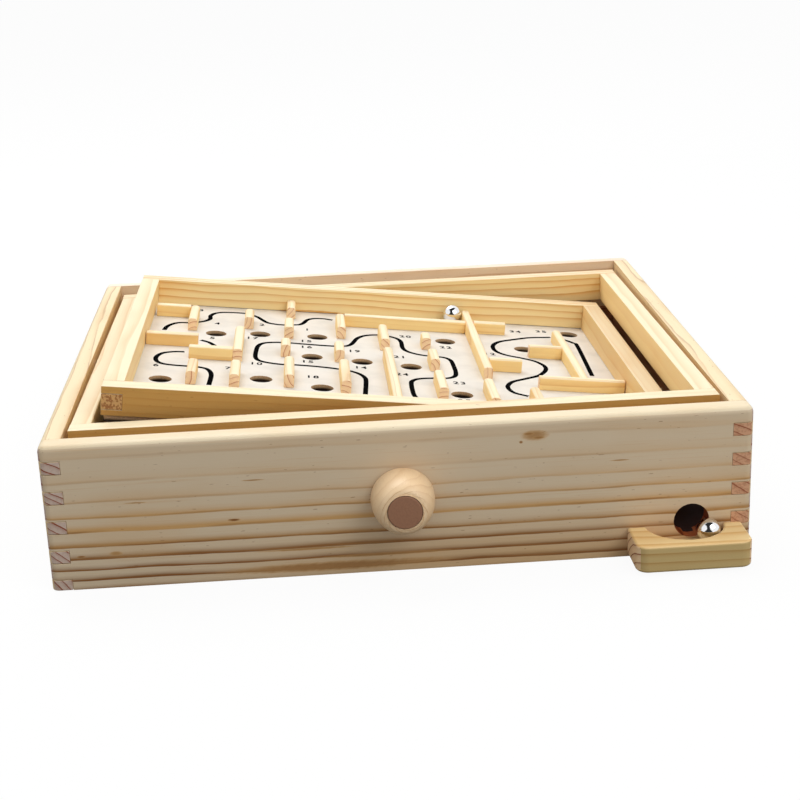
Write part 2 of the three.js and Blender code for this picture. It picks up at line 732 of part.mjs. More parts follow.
// Assembly: the tray turns in the frame, and the frame in the box.
const trayGroup = tray();
trayGroup.rotation.y = trayTilt;

const frameGroup = frame();
frameGroup.position.z = pivotHeight;
frameGroup.rotation.x = frameTilt;
frameGroup.add(trayGroup);
frameGroup.updateMatrixWorld(true);

const maze = new THREE.Group();
maze.name = 'ball_maze';
maze.add(box());
maze.add(cordsAndEyes(frameGroup, trayGroup));
maze.add(controls());
maze.add(catchBall());
for (const side of [-1, 1]) {
  const place = [side * (innerWidth - frameSideGap) / 2, 0, pivotHeight];
  maze.add(pivotPin(side < 0 ? 'frame_pivot_left' : 'frame_pivot_right', frameSideGap,
    [side, 0, 0], place));
}
maze.add(frameGroup);

// The origin is under the middle of the whole game, knob and catch tray included.
const group = new THREE.Group();
maze.position.set(-knobReach / 2, catchTrayDepth / 2, 0);
group.add(maze);

export default group;
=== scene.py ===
"""Looks for the wooden ball maze: pine box, gimbal frame, maze tray, knobs, cords and balls.

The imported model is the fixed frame. Lengths in this file are millimetres, measured from the
middle of the box's base, until place() turns them into metres in the model's own frame.
"""
import json
import math
from contextlib import contextmanager

import bmesh
import bpy
import numpy as np
from mathutils import Matrix, Vector


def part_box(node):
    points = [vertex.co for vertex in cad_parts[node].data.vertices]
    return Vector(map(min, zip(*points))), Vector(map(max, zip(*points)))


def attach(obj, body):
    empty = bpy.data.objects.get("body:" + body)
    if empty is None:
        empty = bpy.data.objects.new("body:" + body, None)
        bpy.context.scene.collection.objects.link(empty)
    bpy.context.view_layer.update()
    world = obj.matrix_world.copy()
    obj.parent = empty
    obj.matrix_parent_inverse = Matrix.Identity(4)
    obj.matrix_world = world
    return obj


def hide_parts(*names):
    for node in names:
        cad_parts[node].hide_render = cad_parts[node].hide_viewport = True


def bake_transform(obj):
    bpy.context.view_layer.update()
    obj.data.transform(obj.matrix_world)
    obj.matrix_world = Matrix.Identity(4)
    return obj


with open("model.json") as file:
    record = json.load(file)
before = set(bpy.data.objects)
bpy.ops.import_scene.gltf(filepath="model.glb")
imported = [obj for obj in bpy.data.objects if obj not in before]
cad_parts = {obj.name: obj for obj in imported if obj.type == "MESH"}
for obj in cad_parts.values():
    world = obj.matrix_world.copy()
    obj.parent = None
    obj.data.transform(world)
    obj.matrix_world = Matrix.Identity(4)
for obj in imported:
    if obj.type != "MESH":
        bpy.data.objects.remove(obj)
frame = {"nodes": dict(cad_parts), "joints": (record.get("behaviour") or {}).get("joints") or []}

bl_info = {
    "name": "Wooden Ball Maze",
    "version": (1, 0, 0),
    "blender": (4, 5, 0),
    "location": "3D View > Sidebar > Ball Maze",
    "description": "Dresses the packed ball maze in pine, print, cord and steel",
    "category": "Object",
}

NODES = frame["nodes"]
JOINTS = {joint["name"]: joint for joint in frame["joints"]}
MM = 0.001

# The gimbal, read from the joints: both tilts turn about one point.
PIVOT = Vector(JOINTS["tray_tilt"]["pos_m"])
FRAME_TILT = math.atan2(JOINTS["tray_tilt"]["axis"][2], JOINTS["tray_tilt"]["axis"][1])
TRAY_TILT = math.asin(-JOINTS["maze_ball_roll"]["axis"][2] / math.cos(FRAME_TILT))
BOX_MIDDLE = Matrix.Translation((PIVOT.x, PIVOT.y, 0))
FRAME_PLACE = Matrix.Translation(PIVOT) @ Matrix.Rotation(FRAME_TILT, 4, "X")
TRAY_PLACE = FRAME_PLACE @ Matrix.Rotation(TRAY_TILT, 4, "Y")

# Sizes that the solids give, in millimetres
WALL = 10.5
BOX = np.array([350.0, 315.0, 76.0])
# Below this height the walls' inner faces take painted shade.
HIDDEN_BELOW = 45.0  # the walls' insides show only through narrow gaps below this height
BOARD_TOP = -8.1
TRAY_INSIDE = np.array([274.9, 221.7])
STRIP_WIDTH, STRIP_HEIGHT = 5.5, 7.5
SHAFT_RADIUS = 4.0
SEAT_GAP = 0.3  # room between a seated part and its neighbour
EXIT_X, EXIT_Z, EXIT_RADIUS = 144.5, 17.6, 9.0
FRONT_SHAFT_Z, SIDE_SHAFT_Z = 39.7, 30.0
CORD_OFFSET = 15.0
TRAY_EYE_X, TRAY_EYE_Z = 151.0, 22.0
FRAME_EYE_Y, FRAME_EYE_Z = 139.0, 30.0
TRAY_HOOK_X, TRAY_HOOK_Z = 142.7, -14.5
FRAME_HOOK_Y, FRAME_HOOK_Z = 133.95, -12.9
KNOB_FOOT, KNOB_SOCKET, SHAFT_SEAT = 0.6, 14.0, 6.0
PIN_RADIUS, COLLAR_RADIUS, PIN_SEAT = 2.0, 4.0, 6.0
FRAME_GAP, TRAY_GAP, TRAY_PIN_Y = 2.4, 7.45, 125.1

# The dressed model's own sizes, in millimetres, and its counts and shares
CATCH_EASING, PANEL_EASING = 1.2, 0.3
JOINT_SHARE = 0.2  # of the rails' easing, on the edges of their corner joints
TOUCH = 0.02  # points this near a side lie on it
NEAR_AXIS = 0.02  # radius at the poles of a turned piece
STRIP_REACH = 0.2  # how much taller the strips are than their solids, down to the board
PRINT_LIFT = 0.01
DIGIT_SHARE = 1.42  # font size over the height of its digits
CORD_TURNS = 4
EYE_DROP = 2.4  # a leg meets its eye this far below the ring's middle
LOOP_RADIUS = 2.0
LOOP_CORD, WHIP_CORD = 0.65, 0.55  # radii, drawn thin where the cord is pulled tight
WHIP_TURNS, WHIP_PITCH, WHIP_RADIUS = 3, 1.2, 1.05
THREAD_PITCH = 0.4
X_WAY, Y_WAY, UP = np.eye(3)


def linear(code):
    """The linear colour of a hex code, by the sRGB curve."""
    parts = [int(code[i:i + 2], 16) / 255 for i in (0, 2, 4)]
    return tuple(v / 12.92 if v <= 0.04045 else ((v + 0.055) / 1.055) ** 2.4 for v in parts)


# Settings that a user would change

def number_setting(name, value, description, **limits):
    return bpy.props.FloatProperty(name=name, description=description, default=value, **limits)


def length_setting(name, value, description):
    return number_setting(name, value * MM, description, min=0, unit="LENGTH",
                          subtype="DISTANCE", precision=5)


# The colours that a user can change: sRGB code, and what it colours
COLOURS = {
    "wall": ("F2E2C2", "Pale wood of the front wall"),
    # Painted shade: greys and darkens the front wall's face, which turns away from the light.
    "wall_upright": ("EEE8E6", "Tint of the front wall's face"),
    "side_wall": ("F6E4BC", "Pale wood of the other walls"),
    # Painted shade: darkens the side faces of the back and side walls a little.
    "side_upright": ("FAF0E2", "Tint of the other walls' faces"),
    # Painted light: the back wall is made paler than the side walls, so that it looks as brightly
    # lit as them.
    "back_wall": ("FFF3E0", "Pale wood of the back wall"),
    "band": ("D39A56", "Soft late wood in the box walls"),
    "front_band": ("E4B878", "Golden late wood of the front wall"),
    "front_core": ("93602F", "Dark lines of the front wall"),
    "core": ("8E4C22", "Dark hair lines of the growth rings"),
    "rail": ("FCECC8", "Pale wood of frame and tray rails"),
    # Painted shade: darkens and warms the rails' side faces.
    "rail_upright": ("FFEFCB", "Tint of the rails' upright faces"),
    # Painted light: the back rails' inner faces take a lighter tint than the other rails' side
    # faces, as if lit from the front.
    "back_upright": ("FFF4D4", "Tint of the back rails' faces"),
    "tan_rail": ("F1DDB8", "Wood of the tray's right rail"),
    # Painted shade: darkens the front rails' faces, which lie in shade behind the front wall.
    "front_rail": ("CFAA6E", "Tint of the front rails' faces"),
    "rail_band": ("DDA353", "Late wood in rails and strips"),
    "rail_end": ("D2A66C", "Sawn ends of the rails"),
    "strip": ("FFF0CC", "Pale wood of the maze strips"),
    # Painted shade: darkens and warms the strips' side faces.
    "strip_upright": ("FFEBBE", "Tint of the strips' upright faces"),
    "strip_end": ("FFDDB0", "Sawn ends of the strips"),
    "strip_line": ("BC5A30", "Growth rings on the strips' ends"),
    "catch": ("FCDDA2", "Yellow pine of the catch tray"),
    # Painted shade: darkens and greys the catch tray's side faces.
    "catch_upright": ("D6D5C8", "Tint of the tray's faces"),
    "end": ("D6C0B0", "Pale wood of sawn ends"),
    "end_line": ("93421E", "Growth rings on sawn ends"),
    "red_end": ("DDAA85", "Pale wood of the right wall's ends"),
    "knob": ("FDDDB2", "Wood of the turned knobs"),
    "knob_line": ("DDB07C", "Grain of the turned knobs"),
    "plug": ("A5775B", "Darker plug in the end of a knob"),
    # Partly painted shade: the hardboard's own brown, darkened to stand in for the shade inside
    # the box.
    "hardboard": ("2C0E07", "Dark sloping floor inside the box"),
    "print_white": ("E9E3D9", "White print of the maze board"),
    "hole_rim": ("DDBB92", "Bare wood at the top of a hole"),
    # Painted shade: the colour that the bare wood of a hole darkens to, low down where shade
    # falls.
    "hole_deep": ("1C0E07", "Bare wood at the foot of a hole"),
    "ink": ("0B0B0C", "Route line and numbers"),
    "elastic": ("2A2624", "Cords between shafts and hooks"),
    "steel": ("C4C5C8", "Pins, hooks and eyes"),
    "chrome": ("EDEEF0", "The balls"),
}


class BallMazeColours(bpy.types.PropertyGroup):
    __annotations__ = {
        key: bpy.props.FloatVectorProperty(
            name=key.replace("_", " ").capitalize(), description=description, subtype="COLOR",
            size=3, min=0, max=1, default=linear(code))
        for key, (code, description) in COLOURS.items()}


class BallMazeSizes(bpy.types.PropertyGroup):
    wall_easing: length_setting("Wall easing", 0.35, "Radius of the walls' eased edges")
    rail_easing: length_setting("Rail easing", 0.8, "Radius of the rails' long edges")
    strip_easing: length_setting("Strip easing", 1.9, "Radius of the strips' upper edges")
    strip_foot: length_setting("Strip foot", 0.5, "Radius of the strips' other edges")
    route_width: length_setting("Route width", 2.75, "Width of the printed route line")
    print_height: length_setting("Print height", 0.05, "Thickness of the printed ink")
    digit_height: length_setting("Digit height", 4.6, "Height of the printed numbers")
    cord: length_setting("Cord", 1.5, "Diameter of the elastic cords")


class BallMazeStage(bpy.types.PropertyGroup):
    lens: number_setting("Lens", 71.055, "Focal length of the camera in millimetres", min=1)
    key: number_setting("Key light", 15.5, "Power of the lamp above and behind", min=0,
                        unit="POWER")
    front: number_setting("Front light", 11.0, "Power of the lamp high above the front", min=0,
                          unit="POWER")
    fill: number_setting("Fill light", 0.55, "Strength of the light from all round", min=0)


# Shader expressions

def math_operator(operation, reflected=False):
    """A method that adds a Math node, with the other value first where it is reflected."""
    def method(self, other):
        pair = (other, self) if reflected else (self, other)
        return self.paint.node("ShaderNodeMath", {"operation": operation},
                               dict(enumerate(pair)))
    return method


class Wire:
    """A socket of a node tree, on which Python's operators add Math nodes."""

    def __init__(self, paint, socket):
        self.paint, self.socket = paint, socket

    def math(self, operation, *others):
        values = dict(enumerate((self, *others)))
        return self.paint.node("ShaderNodeMath", {"operation": operation}, values)

    __add__ = __radd__ = math_operator("ADD")
    __sub__, __rsub__ = math_operator("SUBTRACT"), math_operator("SUBTRACT", True)
    __mul__ = __rmul__ = math_operator("MULTIPLY")
    __truediv__, __rtruediv__ = math_operator("DIVIDE"), math_operator("DIVIDE", True)
    __pow__ = math_operator("POWER")


class Paint:
    """The node tree of a material or of the world, under construction."""

    def __init__(self, owner):
        owner.use_nodes = True
        self.owner = owner
        self.tree = owner.node_tree
        self.shader = self.tree.nodes.get("Principled BSDF")

    def feed(self, node, socket, value):
        """Links a wire to a node's socket, or sets the socket's value."""
        if isinstance(value, Wire):
            self.tree.links.new(value.socket, node.inputs[socket])
        elif node.inputs[socket].type == "RGBA" and len(value) == 3:
            node.inputs[socket].default_value = (*value, 1)
        else:
            node.inputs[socket].default_value = value

    def node(self, kind, settings, values, output=0):
        """Adds any node: its type, its settings, and the values or links of its sockets."""
        made = self.tree.nodes.new(kind)
        for name, value in settings.items():
            if name == "stops":
                ramp = made.color_ramp
                while len(ramp.elements) < len(value):
                    ramp.elements.new(0.5)
                for element, (position, level) in zip(ramp.elements, value):
                    element.position = position
                    element.color = (level, level, level, 1)
            else:
                setattr(made, name, value)
        for socket, value in values.items():
            self.feed(made, socket, value)
        return Wire(self, made.outputs[output])

    def mix(self, first, second, share, blend="MIX"):
        settings = {"data_type": "RGBA", "blend_type": blend, "clamp_factor": True}
        return self.node("ShaderNodeMix", settings, {0: share, 6: first, 7: second}, 2)

    def ramp(self, value, *stops):
        """A value led through straight steps between (position, level) pairs."""
        return self.node("ShaderNodeValToRGB", {"stops": stops}, {0: value})

    def smooth(self, value, low, high):
        """0 below low, 1 above high, and an S curve between them."""
        return self.node("ShaderNodeMapRange", {"interpolation_type": "SMOOTHSTEP"},
                         {0: value, 1: low, 2: high, 3: 0.0, 4: 1.0})

    def attribute(self, name, output="Fac"):
        return self.node("ShaderNodeAttribute", {"attribute_name": name}, {}, output)

    def light_path(self, kind):
        return self.node("ShaderNodeLightPath", {}, {}, kind)

    def split(self, vector):
        parts = self.node("ShaderNodeSeparateXYZ", {}, {0: vector}).socket.node.outputs
        return [Wire(self, socket) for socket in parts]

    def join(self, x, y, z):
        return self.node("ShaderNodeCombineXYZ", {}, {0: x, 1: y, 2: z})

    def noise(self, vector, detail=2.0, roughness=0.5, scale=1.0, output=0):
        """Smooth noise, mostly from 0.3 to 0.7, one blob a unit of its vector times scale."""
        return self.node("ShaderNodeTexNoise", {},
                         {"Vector": vector, "Scale": scale, "Detail": detail,
                          "Roughness": roughness}, output)

    def place(self):
        return self.node("ShaderNodeTexCoord", {}, {}, "Object")

    def bump(self, height, distance, strength=1.0):
        normal = self.node("ShaderNodeBump", {},
                           {"Height": height, "Distance": distance, "Strength": strength})
        self.feed(self.shader, "Normal", normal)

    def finish(self, **sockets):
        for socket, value in sockets.items():
            self.feed(self.shader, socket.replace("_", " "), value)
        return self.owner


# Finishes

# Painted shade, with some of the bore's end-grain brown in the exit hole: what the faces in the
# exit hole and the inner faces low in the box keep of their colour
PAINTED_SHADE_COLOUR = (0.5, 0.17, 0.07)


def wood(name, face, band, core, end, end_line, painted_side_tint=(1.0, 1.0, 1.0), ring=5.0, spread=0.0,
         softness=0.7, hardness=0.5, sway=7.0, unrest=1.0, streak=0.12, fleck=0.0, even=0.2,
         fade=None, low_reddening=0.0, marks=(), end_rings=1.0, pitting=0.25, rough=0.5, coat=0.0):
    """Sawn wood with its growth rings running through it.

    The piece's "wood" attribute gives millimetres along the grain and two ways across it,
    counted from the tree's heart. The rings are the distance from the heart, swayed by slow
    noise, a ring's width apart, or with spread the square of distance / spread, so that they
    lie closer far from the heart. unrest moves them to and fro. Each darkens to its band and
    ends in a hard core line, and some are fainter than others, but never fainter than the even
    share. "cut" is 1 on sawn ends, which show their rings and pits, "upright" is 1 on side
    faces, which take a tint of painted light and shade, and a third attribute paints shade on
    hidden faces. fade weakens the rings between two heights, and below the first the wood
    turns golden along its length and its bands grow redder and darker. Each mark is a spot
    with a dark middle: place along and up, half its length and height, and its depth of colour.
    """
    def blobs(length, width, *settings, **more):
        """Noise whose blobs are so long along the grain and so wide across it."""
        stretched = paint.join(along / length, across / width, up / width)
        return paint.noise(stretched, *settings, **more)

    paint = Paint(bpy.data.materials.new(name))
    along, across, up = paint.split(paint.attribute("wood", "Vector"))
    cut = paint.attribute("cut")
    slow_x, slow_y, slow_z = paint.split(blobs(170, 70, output=1))
    fine = blobs(30, 5, 3.0)
    heart_x = across + (slow_x - 0.5) * sway
    heart_y = up + (slow_y - 0.5) * sway
    distance = (heart_x * heart_x + heart_y * heart_y) ** 0.5 + (fine - 0.5) * 1.2
    years = paint.noise(paint.join(distance / 16, slow_z, 0.0), 1.0)
    rings = (distance / spread) ** 2.0 if spread else distance / ring
    count = rings + ((years - 0.5) * 2.0 + (slow_z - 0.5) * 1.2) * unrest
    phase = count.math("FRACT")
    boldness = paint.node("ShaderNodeTexWhiteNoise", {"noise_dimensions": "1D"},
                          {"W": count.math("FLOOR")})
    soft = paint.ramp(phase, (0.0, 0.0), (0.4, 0.03), (0.62, 0.28), (0.8, 0.65), (0.9, 1.0),
                      (0.955, 0.8), (1.0, 0.0))
    hard = paint.ramp(phase, (0.0, 0.0), (0.83, 0.0), (0.9, 1.0), (0.95, 0.9), (1.0, 0.0))
    fibre = blobs(45, 0.55, 3.0, 0.6)
    pores = blobs(0.6, 0.35)
    cloud = blobs(90, 24)
    gaps = blobs(60, 9)
    strength = boldness * (1.0 - even) + even
    ochre = band
    if fade:
        low, high, least = fade
        strength = strength * (1.0 - paint.smooth(up, low, high) * (1.0 - least))
        # Darker and redder towards the bottom: below the first height the bands turn towards the
        # core colour.
        ochre = paint.mix(band, core, (1.0 - paint.smooth(up, low - 20.0, low)) * low_reddening)
        golden = (1.0 - paint.smooth(up, low - 30.0, low)) * paint.smooth(along, -170.0, 40.0)
        face = paint.mix(face, band, golden * 0.6)
    depth = soft * strength * (paint.smooth(cloud, 0.3, 0.6) * 0.4 + 0.7) * softness
    colour = paint.mix(face, ochre, depth)
    colour = paint.mix(colour, band, paint.smooth(cloud, 0.5, 0.75) * 0.25)
    colour = paint.mix(colour, band, paint.smooth(fibre, 0.55, 0.75) * streak)
    core_share = hard * strength * paint.smooth(gaps, 0.35, 0.6) * hardness
    colour = paint.mix(colour, core, core_share)
    if fleck:
        spots = paint.smooth(blobs(4.5, 0.7, 1.0), 0.75, 0.79)
        colour = paint.mix(colour, core, spots * fleck)
    blot = paint.noise(paint.join(along / 3.5, across, (up - along * 0.4) / 1.6), 1.0)
    for mark_along, mark_up, length, height, depth in marks:
        far = ((along - mark_along) / length) ** 2.0 + ((up - mark_up) / height) ** 2.0
        ragged = far + (fibre - 0.5) * 0.7 + (blot - 0.5) * 0.6
        colour = paint.mix(colour, band, (1.0 - paint.smooth(ragged, 0.0, 1.5)) * 0.9)
        colour = paint.mix(colour, core, (1.0 - paint.smooth(ragged, 0.0, 1.1)) * depth)
    # Painted light and shade: side faces take a tint, darkest on faces that turn to the front and
    # lightest on the back rails' inner faces.
    colour = paint.mix(colour, painted_side_tint, paint.attribute("upright"), "MULTIPLY")
    lines = (soft * 0.35 + hard * 0.75) * (boldness * 0.4 + 0.6) * end_rings
    sawn = paint.mix(end, end_line, lines)
    pits = paint.smooth(blobs(2.0, 1.2, 1.0), 0.5, 0.58)
    sawn = paint.mix(sawn, end_line, pits * pitting)
    colour = paint.mix(colour, sawn, cut)
    # Painted shade on the faces in the exit hole and low inside the box.
    colour = paint.mix(colour, PAINTED_SHADE_COLOUR, paint.attribute("hollow"), "MULTIPLY")
    height = fibre * 0.5 + hard * 0.3 + pores * cut * 0.6
    paint.bump(height, 0.12 * MM, 0.6)
    return paint.finish(
        Base_Color=colour, Coat_Weight=coat, Coat_Roughness=0.3,
        Roughness=rough + (fibre - 0.5) * 0.2 + cut * 0.15, Specular_IOR_Level=0.35)


def plain_wood(name, light, ring, rough):
    """A wood of one colour whose rings are only a little darker."""
    dark = tuple(v * 0.62 for v in light)
    return wood(name, light, dark, dark, light, dark, ring=ring, softness=0.3, hardness=0.2,
                streak=0.3, end_rings=0.12, pitting=0.15, rough=rough)


def steel(name, colour, rough, scratch):
    """Metal with fine scratches that vary its gloss."""
    paint = Paint(bpy.data.materials.new(name))
    coarse = paint.noise(paint.place(), 3.0, scale=900.0)
    fine = paint.noise(paint.place(), scale=4000.0)
    paint.bump(fine, scratch * MM, 0.5)
    return paint.finish(Base_Color=colour, Metallic=1.0,
                        Roughness=rough + (coarse - 0.5) * rough * 0.8)


def board_print(name, white, rim, deep):
    """White print on the board's top; bare wood on its edges and in its holes, with painted shade
    that darkens it downwards.
    """
    paint = Paint(bpy.data.materials.new(name))
    mottle = paint.noise(paint.place(), 3.0, scale=60.0)
    grain_dots = paint.noise(paint.place(), scale=1500.0)
    printed = paint.attribute("printed")
    wash = tuple(v * 0.9 for v in white)
    shade = paint.mix(white, wash, paint.smooth(mottle, 0.4, 0.7))
    # Painted shade: the bare wood darkens with depth below the top, down the board's edges and
    # holes.
    edge = paint.mix(rim, deep, paint.smooth(paint.attribute("below"), 0.8, 2.6))
    edge = paint.mix(edge, deep, paint.smooth(grain_dots, 0.45, 0.7) * 0.35)
    paint.bump(grain_dots, 0.02 * MM, 0.5)
    return paint.finish(Base_Color=paint.mix(edge, shade, printed), Specular_IOR_Level=0.3,
                        Roughness=0.8 - printed * 0.3 + (mottle - 0.5) * 0.1)


def ink(name, colour):
    """Black print, a little uneven where it soaked in."""
    paint = Paint(bpy.data.materials.new(name))
    soak = paint.noise(paint.place(), 3.0, scale=700.0)
    faded = tuple(v * 1.8 + 0.006 for v in colour)
    return paint.finish(Base_Color=paint.mix(colour, faded, paint.smooth(soak, 0.5, 0.75)),
                        Roughness=0.7 + (soak - 0.5) * 0.2, Specular_IOR_Level=0.0)


def braided(name, colour):
    """Elastic cord: a braid of two crossing sets of threads, from the tube's own UV map, with a
    painted highlight on the threads' crests.
    """
    paint = Paint(bpy.data.materials.new(name))
    u, v, _ = paint.split(paint.node("ShaderNodeUVMap", {"uv_map": "cord"}, {}))
    one = ((u + v) * 2 * math.pi).math("SINE")
    other = ((u - v) * 2 * math.pi).math("SINE")
    thread = one.math("MAXIMUM", other)
    # Painted highlight: the threads' crests are lighter than the grooves between them, as if lit.
    pale = tuple(v * 2.5 + 0.02 for v in colour)
    paint.bump(thread, 0.08 * MM, 0.8)
    return paint.finish(Base_Color=paint.mix(colour, pale, paint.smooth(thread, 0.2, 1.0)),
                        Roughness=0.8 + thread * 0.05)


# Surfaces

EDGE_ANGLE = math.radians(40)  # a bend sharper than this is an edge


def ring_faces(rows, columns):
    """Quads between rows of points, each of which closes on itself."""
    row, column = np.meshgrid(np.arange(rows - 1), np.arange(columns), indexing="ij")
    beside = (column + 1) % columns
    corners = [row * columns + column, row * columns + beside,
               (row + 1) * columns + beside, (row + 1) * columns + column]
    return np.stack(corners, -1).reshape(-1, 4).tolist()


def capped(points):
    """Faces of a closed skin: a grid whose rows close, with a face over each end."""
    rows, columns = points.shape[:2]
    last = (rows - 1) * columns
    ends = [list(range(columns))[::-1], list(range(last, last + columns))]
    return ring_faces(rows, columns) + ends


def bar(length, width, height, easing, foot_easing, steps=5):
    """A bar along X with rounded upper edges and eased lower edges and ends.

    A rounded rectangle is carried along X. Towards each end it draws in by r(1 - cos t) while
    it moves out by r sin t, where r is the foot's easing, so that the end is rounded as well.
    t stops a little before a right angle, where the lower corners would shrink to points.
    """
    turned = np.linspace(0, math.pi / 2, steps + 1)
    leaning = turned * 0.9
    draw_in = foot_easing * (1 - np.cos(leaning))
    out = length / 2 + foot_easing * (np.sin(leaning) - np.sin(leaning[-1]))
    x = np.concatenate([-out[::-1], out])[:, None]
    inset = np.concatenate([draw_in[::-1], draw_in])[:, None]
    quarter = np.arange(4)
    angle = (turned + quarter[:, None] * math.pi / 2).ravel()
    middle = np.repeat(quarter * math.pi / 2 + math.pi / 4, steps + 1)
    round_off = np.where(np.sin(middle) > 0, easing, foot_easing)
    radius = round_off - inset
    y = np.sign(np.cos(middle)) * (width / 2 - round_off) + radius * np.cos(angle)
    z = np.sign(np.sin(middle)) * (height / 2 - round_off) + radius * np.sin(angle)
    return np.stack([np.broadcast_to(x, y.shape), y, z], -1)


def revolved(profile, steps=72):
    """A profile of (radius, height) rows turned about Z. Its ends lie near the axis."""
    angle = np.arange(steps) / steps * 2 * math.pi
    radius = np.maximum(profile[:, 0], NEAR_AXIS)[:, None]
    x, y = radius * np.cos(angle), radius * np.sin(angle)
    return np.stack([x, y, np.broadcast_to(profile[:, 1][:, None], x.shape)], -1)


def unit(vectors):
    """The vectors' directions, each of length 1."""
    return vectors / np.linalg.norm(vectors, axis=-1, keepdims=True)


def tube(path, radius, side, sides=12):
    """A round tube along a path of points.

    Each ring stands square to the path: its first way across is the tangent crossed with the
    side vector, and its second is that one crossed with the tangent.
    """
    tangent = unit(np.gradient(path, axis=0))
    across = unit(np.cross(tangent, side))
    other = np.cross(tangent, across)
    angle = np.arange(sides) / sides * 2 * math.pi
    ring = (np.cos(angle)[:, None] * across[:, None] + np.sin(angle)[:, None] * other[:, None])
    return path[:, None] + radius * ring


def through(points, spacing):
    """A smooth path through points, by a Catmull-Rom curve sampled at about the spacing."""
    points = np.array(points, float)
    padded = np.concatenate([[2 * points[0] - points[1]], points, [2 * points[-1] - points[-2]]])
    pieces = []
    for a, b, c, d in zip(padded, padded[1:], padded[2:], padded[3:]):
        count = max(int(np.linalg.norm(c - b) / spacing), 2)
        t = np.linspace(0, 1, count, endpoint=False)[:, None]
        pieces.append(0.5 * (2 * b + (c - a) * t + (2 * a - 5 * b + 4 * c - d) * t ** 2
                             + (3 * b - a - 3 * c + d) * t ** 3))
    return np.concatenate(pieces + [points[-1:]])


def place(points, matrix=BOX_MIDDLE):
    """Millimetres in a group's own frame to metres in the model's frame."""
    flat = np.asarray(points, float).reshape(-1, 3) * MM
    turned = flat @ np.array(matrix.to_3x3()).T + np.array(matrix.translation)
    return turned.reshape(np.shape(points))


def turn(points, x_axis, y_axis, z_axis, centre):
    """Points whose axes are laid along three given directions, about a centre."""
    return points @ np.array([x_axis, y_axis, z_axis], float) + np.array(centre, float)


@contextmanager
def editing(mesh):
    """The mesh opened for bmesh's operators, and written back at the end."""
    body = bmesh.new()
    body.from_mesh(mesh)
    yield body
    body.to_mesh(mesh)
    body.free()


def make(name, skins, finish):
    """One object from (points, faces) pairs in metres, shaded smooth, with normals outside."""
    vertices, faces, start = [], [], 0
    for points, skin_faces in skins:
        flat = points.reshape(-1, 3)
        vertices.append(flat)
        faces += [[index + start for index in face] for face in skin_faces]
        start += len(flat)
    mesh = bpy.data.meshes.new(name)
    mesh.from_pydata(np.concatenate(vertices).tolist(), [], faces)
    with editing(mesh) as body:
        bmesh.ops.recalc_face_normals(body, faces=body.faces)
    return settle(name, mesh, finish)


def link(name, data):
    """A new object in the scene that holds the data."""
    thing = bpy.data.objects.new(name, data)
    bpy.context.scene.collection.objects.link(thing)
    return thing


def settle(name, mesh, finish):
    """An object of the mesh in its finish, smooth but for its edges."""
    mesh.materials.clear()
    mesh.materials.append(finish)
    mesh.shade_smooth()
    mesh.set_sharp_from_angle(angle=EDGE_ANGLE)
    return link(name, mesh)


def eased_copy(node, name, finish, easing, steps=2, cuts=(), share_of=None):
    """A copy of a CAD solid with its doubles merged, its flats joined and its edges eased.

    cuts are (point, direction) planes that part its edges. share_of takes the middles of its
    edges, in metres, and gives the share of the easing that each one gets.
    """
    mesh = NODES[node].data.copy()
    mesh.name = name
    with editing(mesh) as body:
        bmesh.ops.remove_doubles(body, verts=body.verts, dist=0.002 * MM)
        bmesh.ops.dissolve_limit(body, angle_limit=math.radians(0.5), verts=body.verts,
                                 edges=body.edges)
        for point, direction in cuts:
            bmesh.ops.bisect_plane(body, geom=body.verts[:] + body.edges[:] + body.faces[:],
                                   plane_co=point, plane_no=direction)
        folds = np.array([edge.calc_face_angle(0.0) for edge in body.edges])
        middles = np.array([(edge.verts[0].co + edge.verts[1].co) / 2 for edge in body.edges])
    shares = share_of(middles) if share_of else np.ones(len(middles))
    weights = mesh.attributes.new("bevel_weight_edge", "FLOAT", "EDGE")
    weights.data.foreach_set("value", np.where(folds > EDGE_ANGLE, shares, 0))
    thing = settle(name, mesh, finish)
    bevel = thing.modifiers.new("easing", "BEVEL")
    bevel.width = easing
    bevel.segments = steps
    bevel.limit_method = "WEIGHT"
    weighted = thing.modifiers.new("flats", "WEIGHTED_NORMAL")
    weighted.keep_sharp = True
    graph = bpy.context.evaluated_depsgraph_get()
    graph.update()
    thing.data = bpy.data.meshes.new_from_object(thing.evaluated_get(graph))
    thing.modifiers.clear()
    return thing


def in_group(points, matrix):
    """Metres in the model's frame to millimetres in a group's own frame."""
    return (points - np.array(matrix.translation)) @ np.array(matrix.to_3x3()) / MM


def read(items, field, kind=float, size=1):
    """One field of all the items of a mesh."""
    values = np.empty(len(items) * size, kind)
    items.foreach_get(field, values)
    return values


def points_of(mesh, matrix):
    """A mesh's points in a group's own frame, in millimetres."""
    return in_group(read(mesh.vertices, "co", size=3).reshape(-1, 3), matrix)


def facing(mesh, matrix):
    """Each face's normal in a group's own frame."""
    return read(mesh.polygons, "normal", size=3).reshape(-1, 3) @ np.array(matrix.to_3x3())


def corner_values(mesh, name, per_face):
    """Stores one value a face on that face's corners."""
    counts = read(mesh.polygons, "loop_total", int)
    layer = mesh.attributes.new(name, "FLOAT", "CORNER")
    layer.data.foreach_set("value", np.repeat(np.asarray(per_face, float), counts))


def store_grain(mesh, wooden, along, matrix):
    """The attributes that wood() reads. along is one direction, or one for each face."""
    layer = mesh.attributes.new("wood", "FLOAT_VECTOR", "POINT")
    layer.data.foreach_set("vector", wooden.astype(np.float32).ravel())
    normals = facing(mesh, matrix)
    corner_values(mesh, "cut", np.abs((normals * along).sum(1)) > 0.75)
    corner_values(mesh, "upright", np.abs(normals[:, 2]) < 0.5)


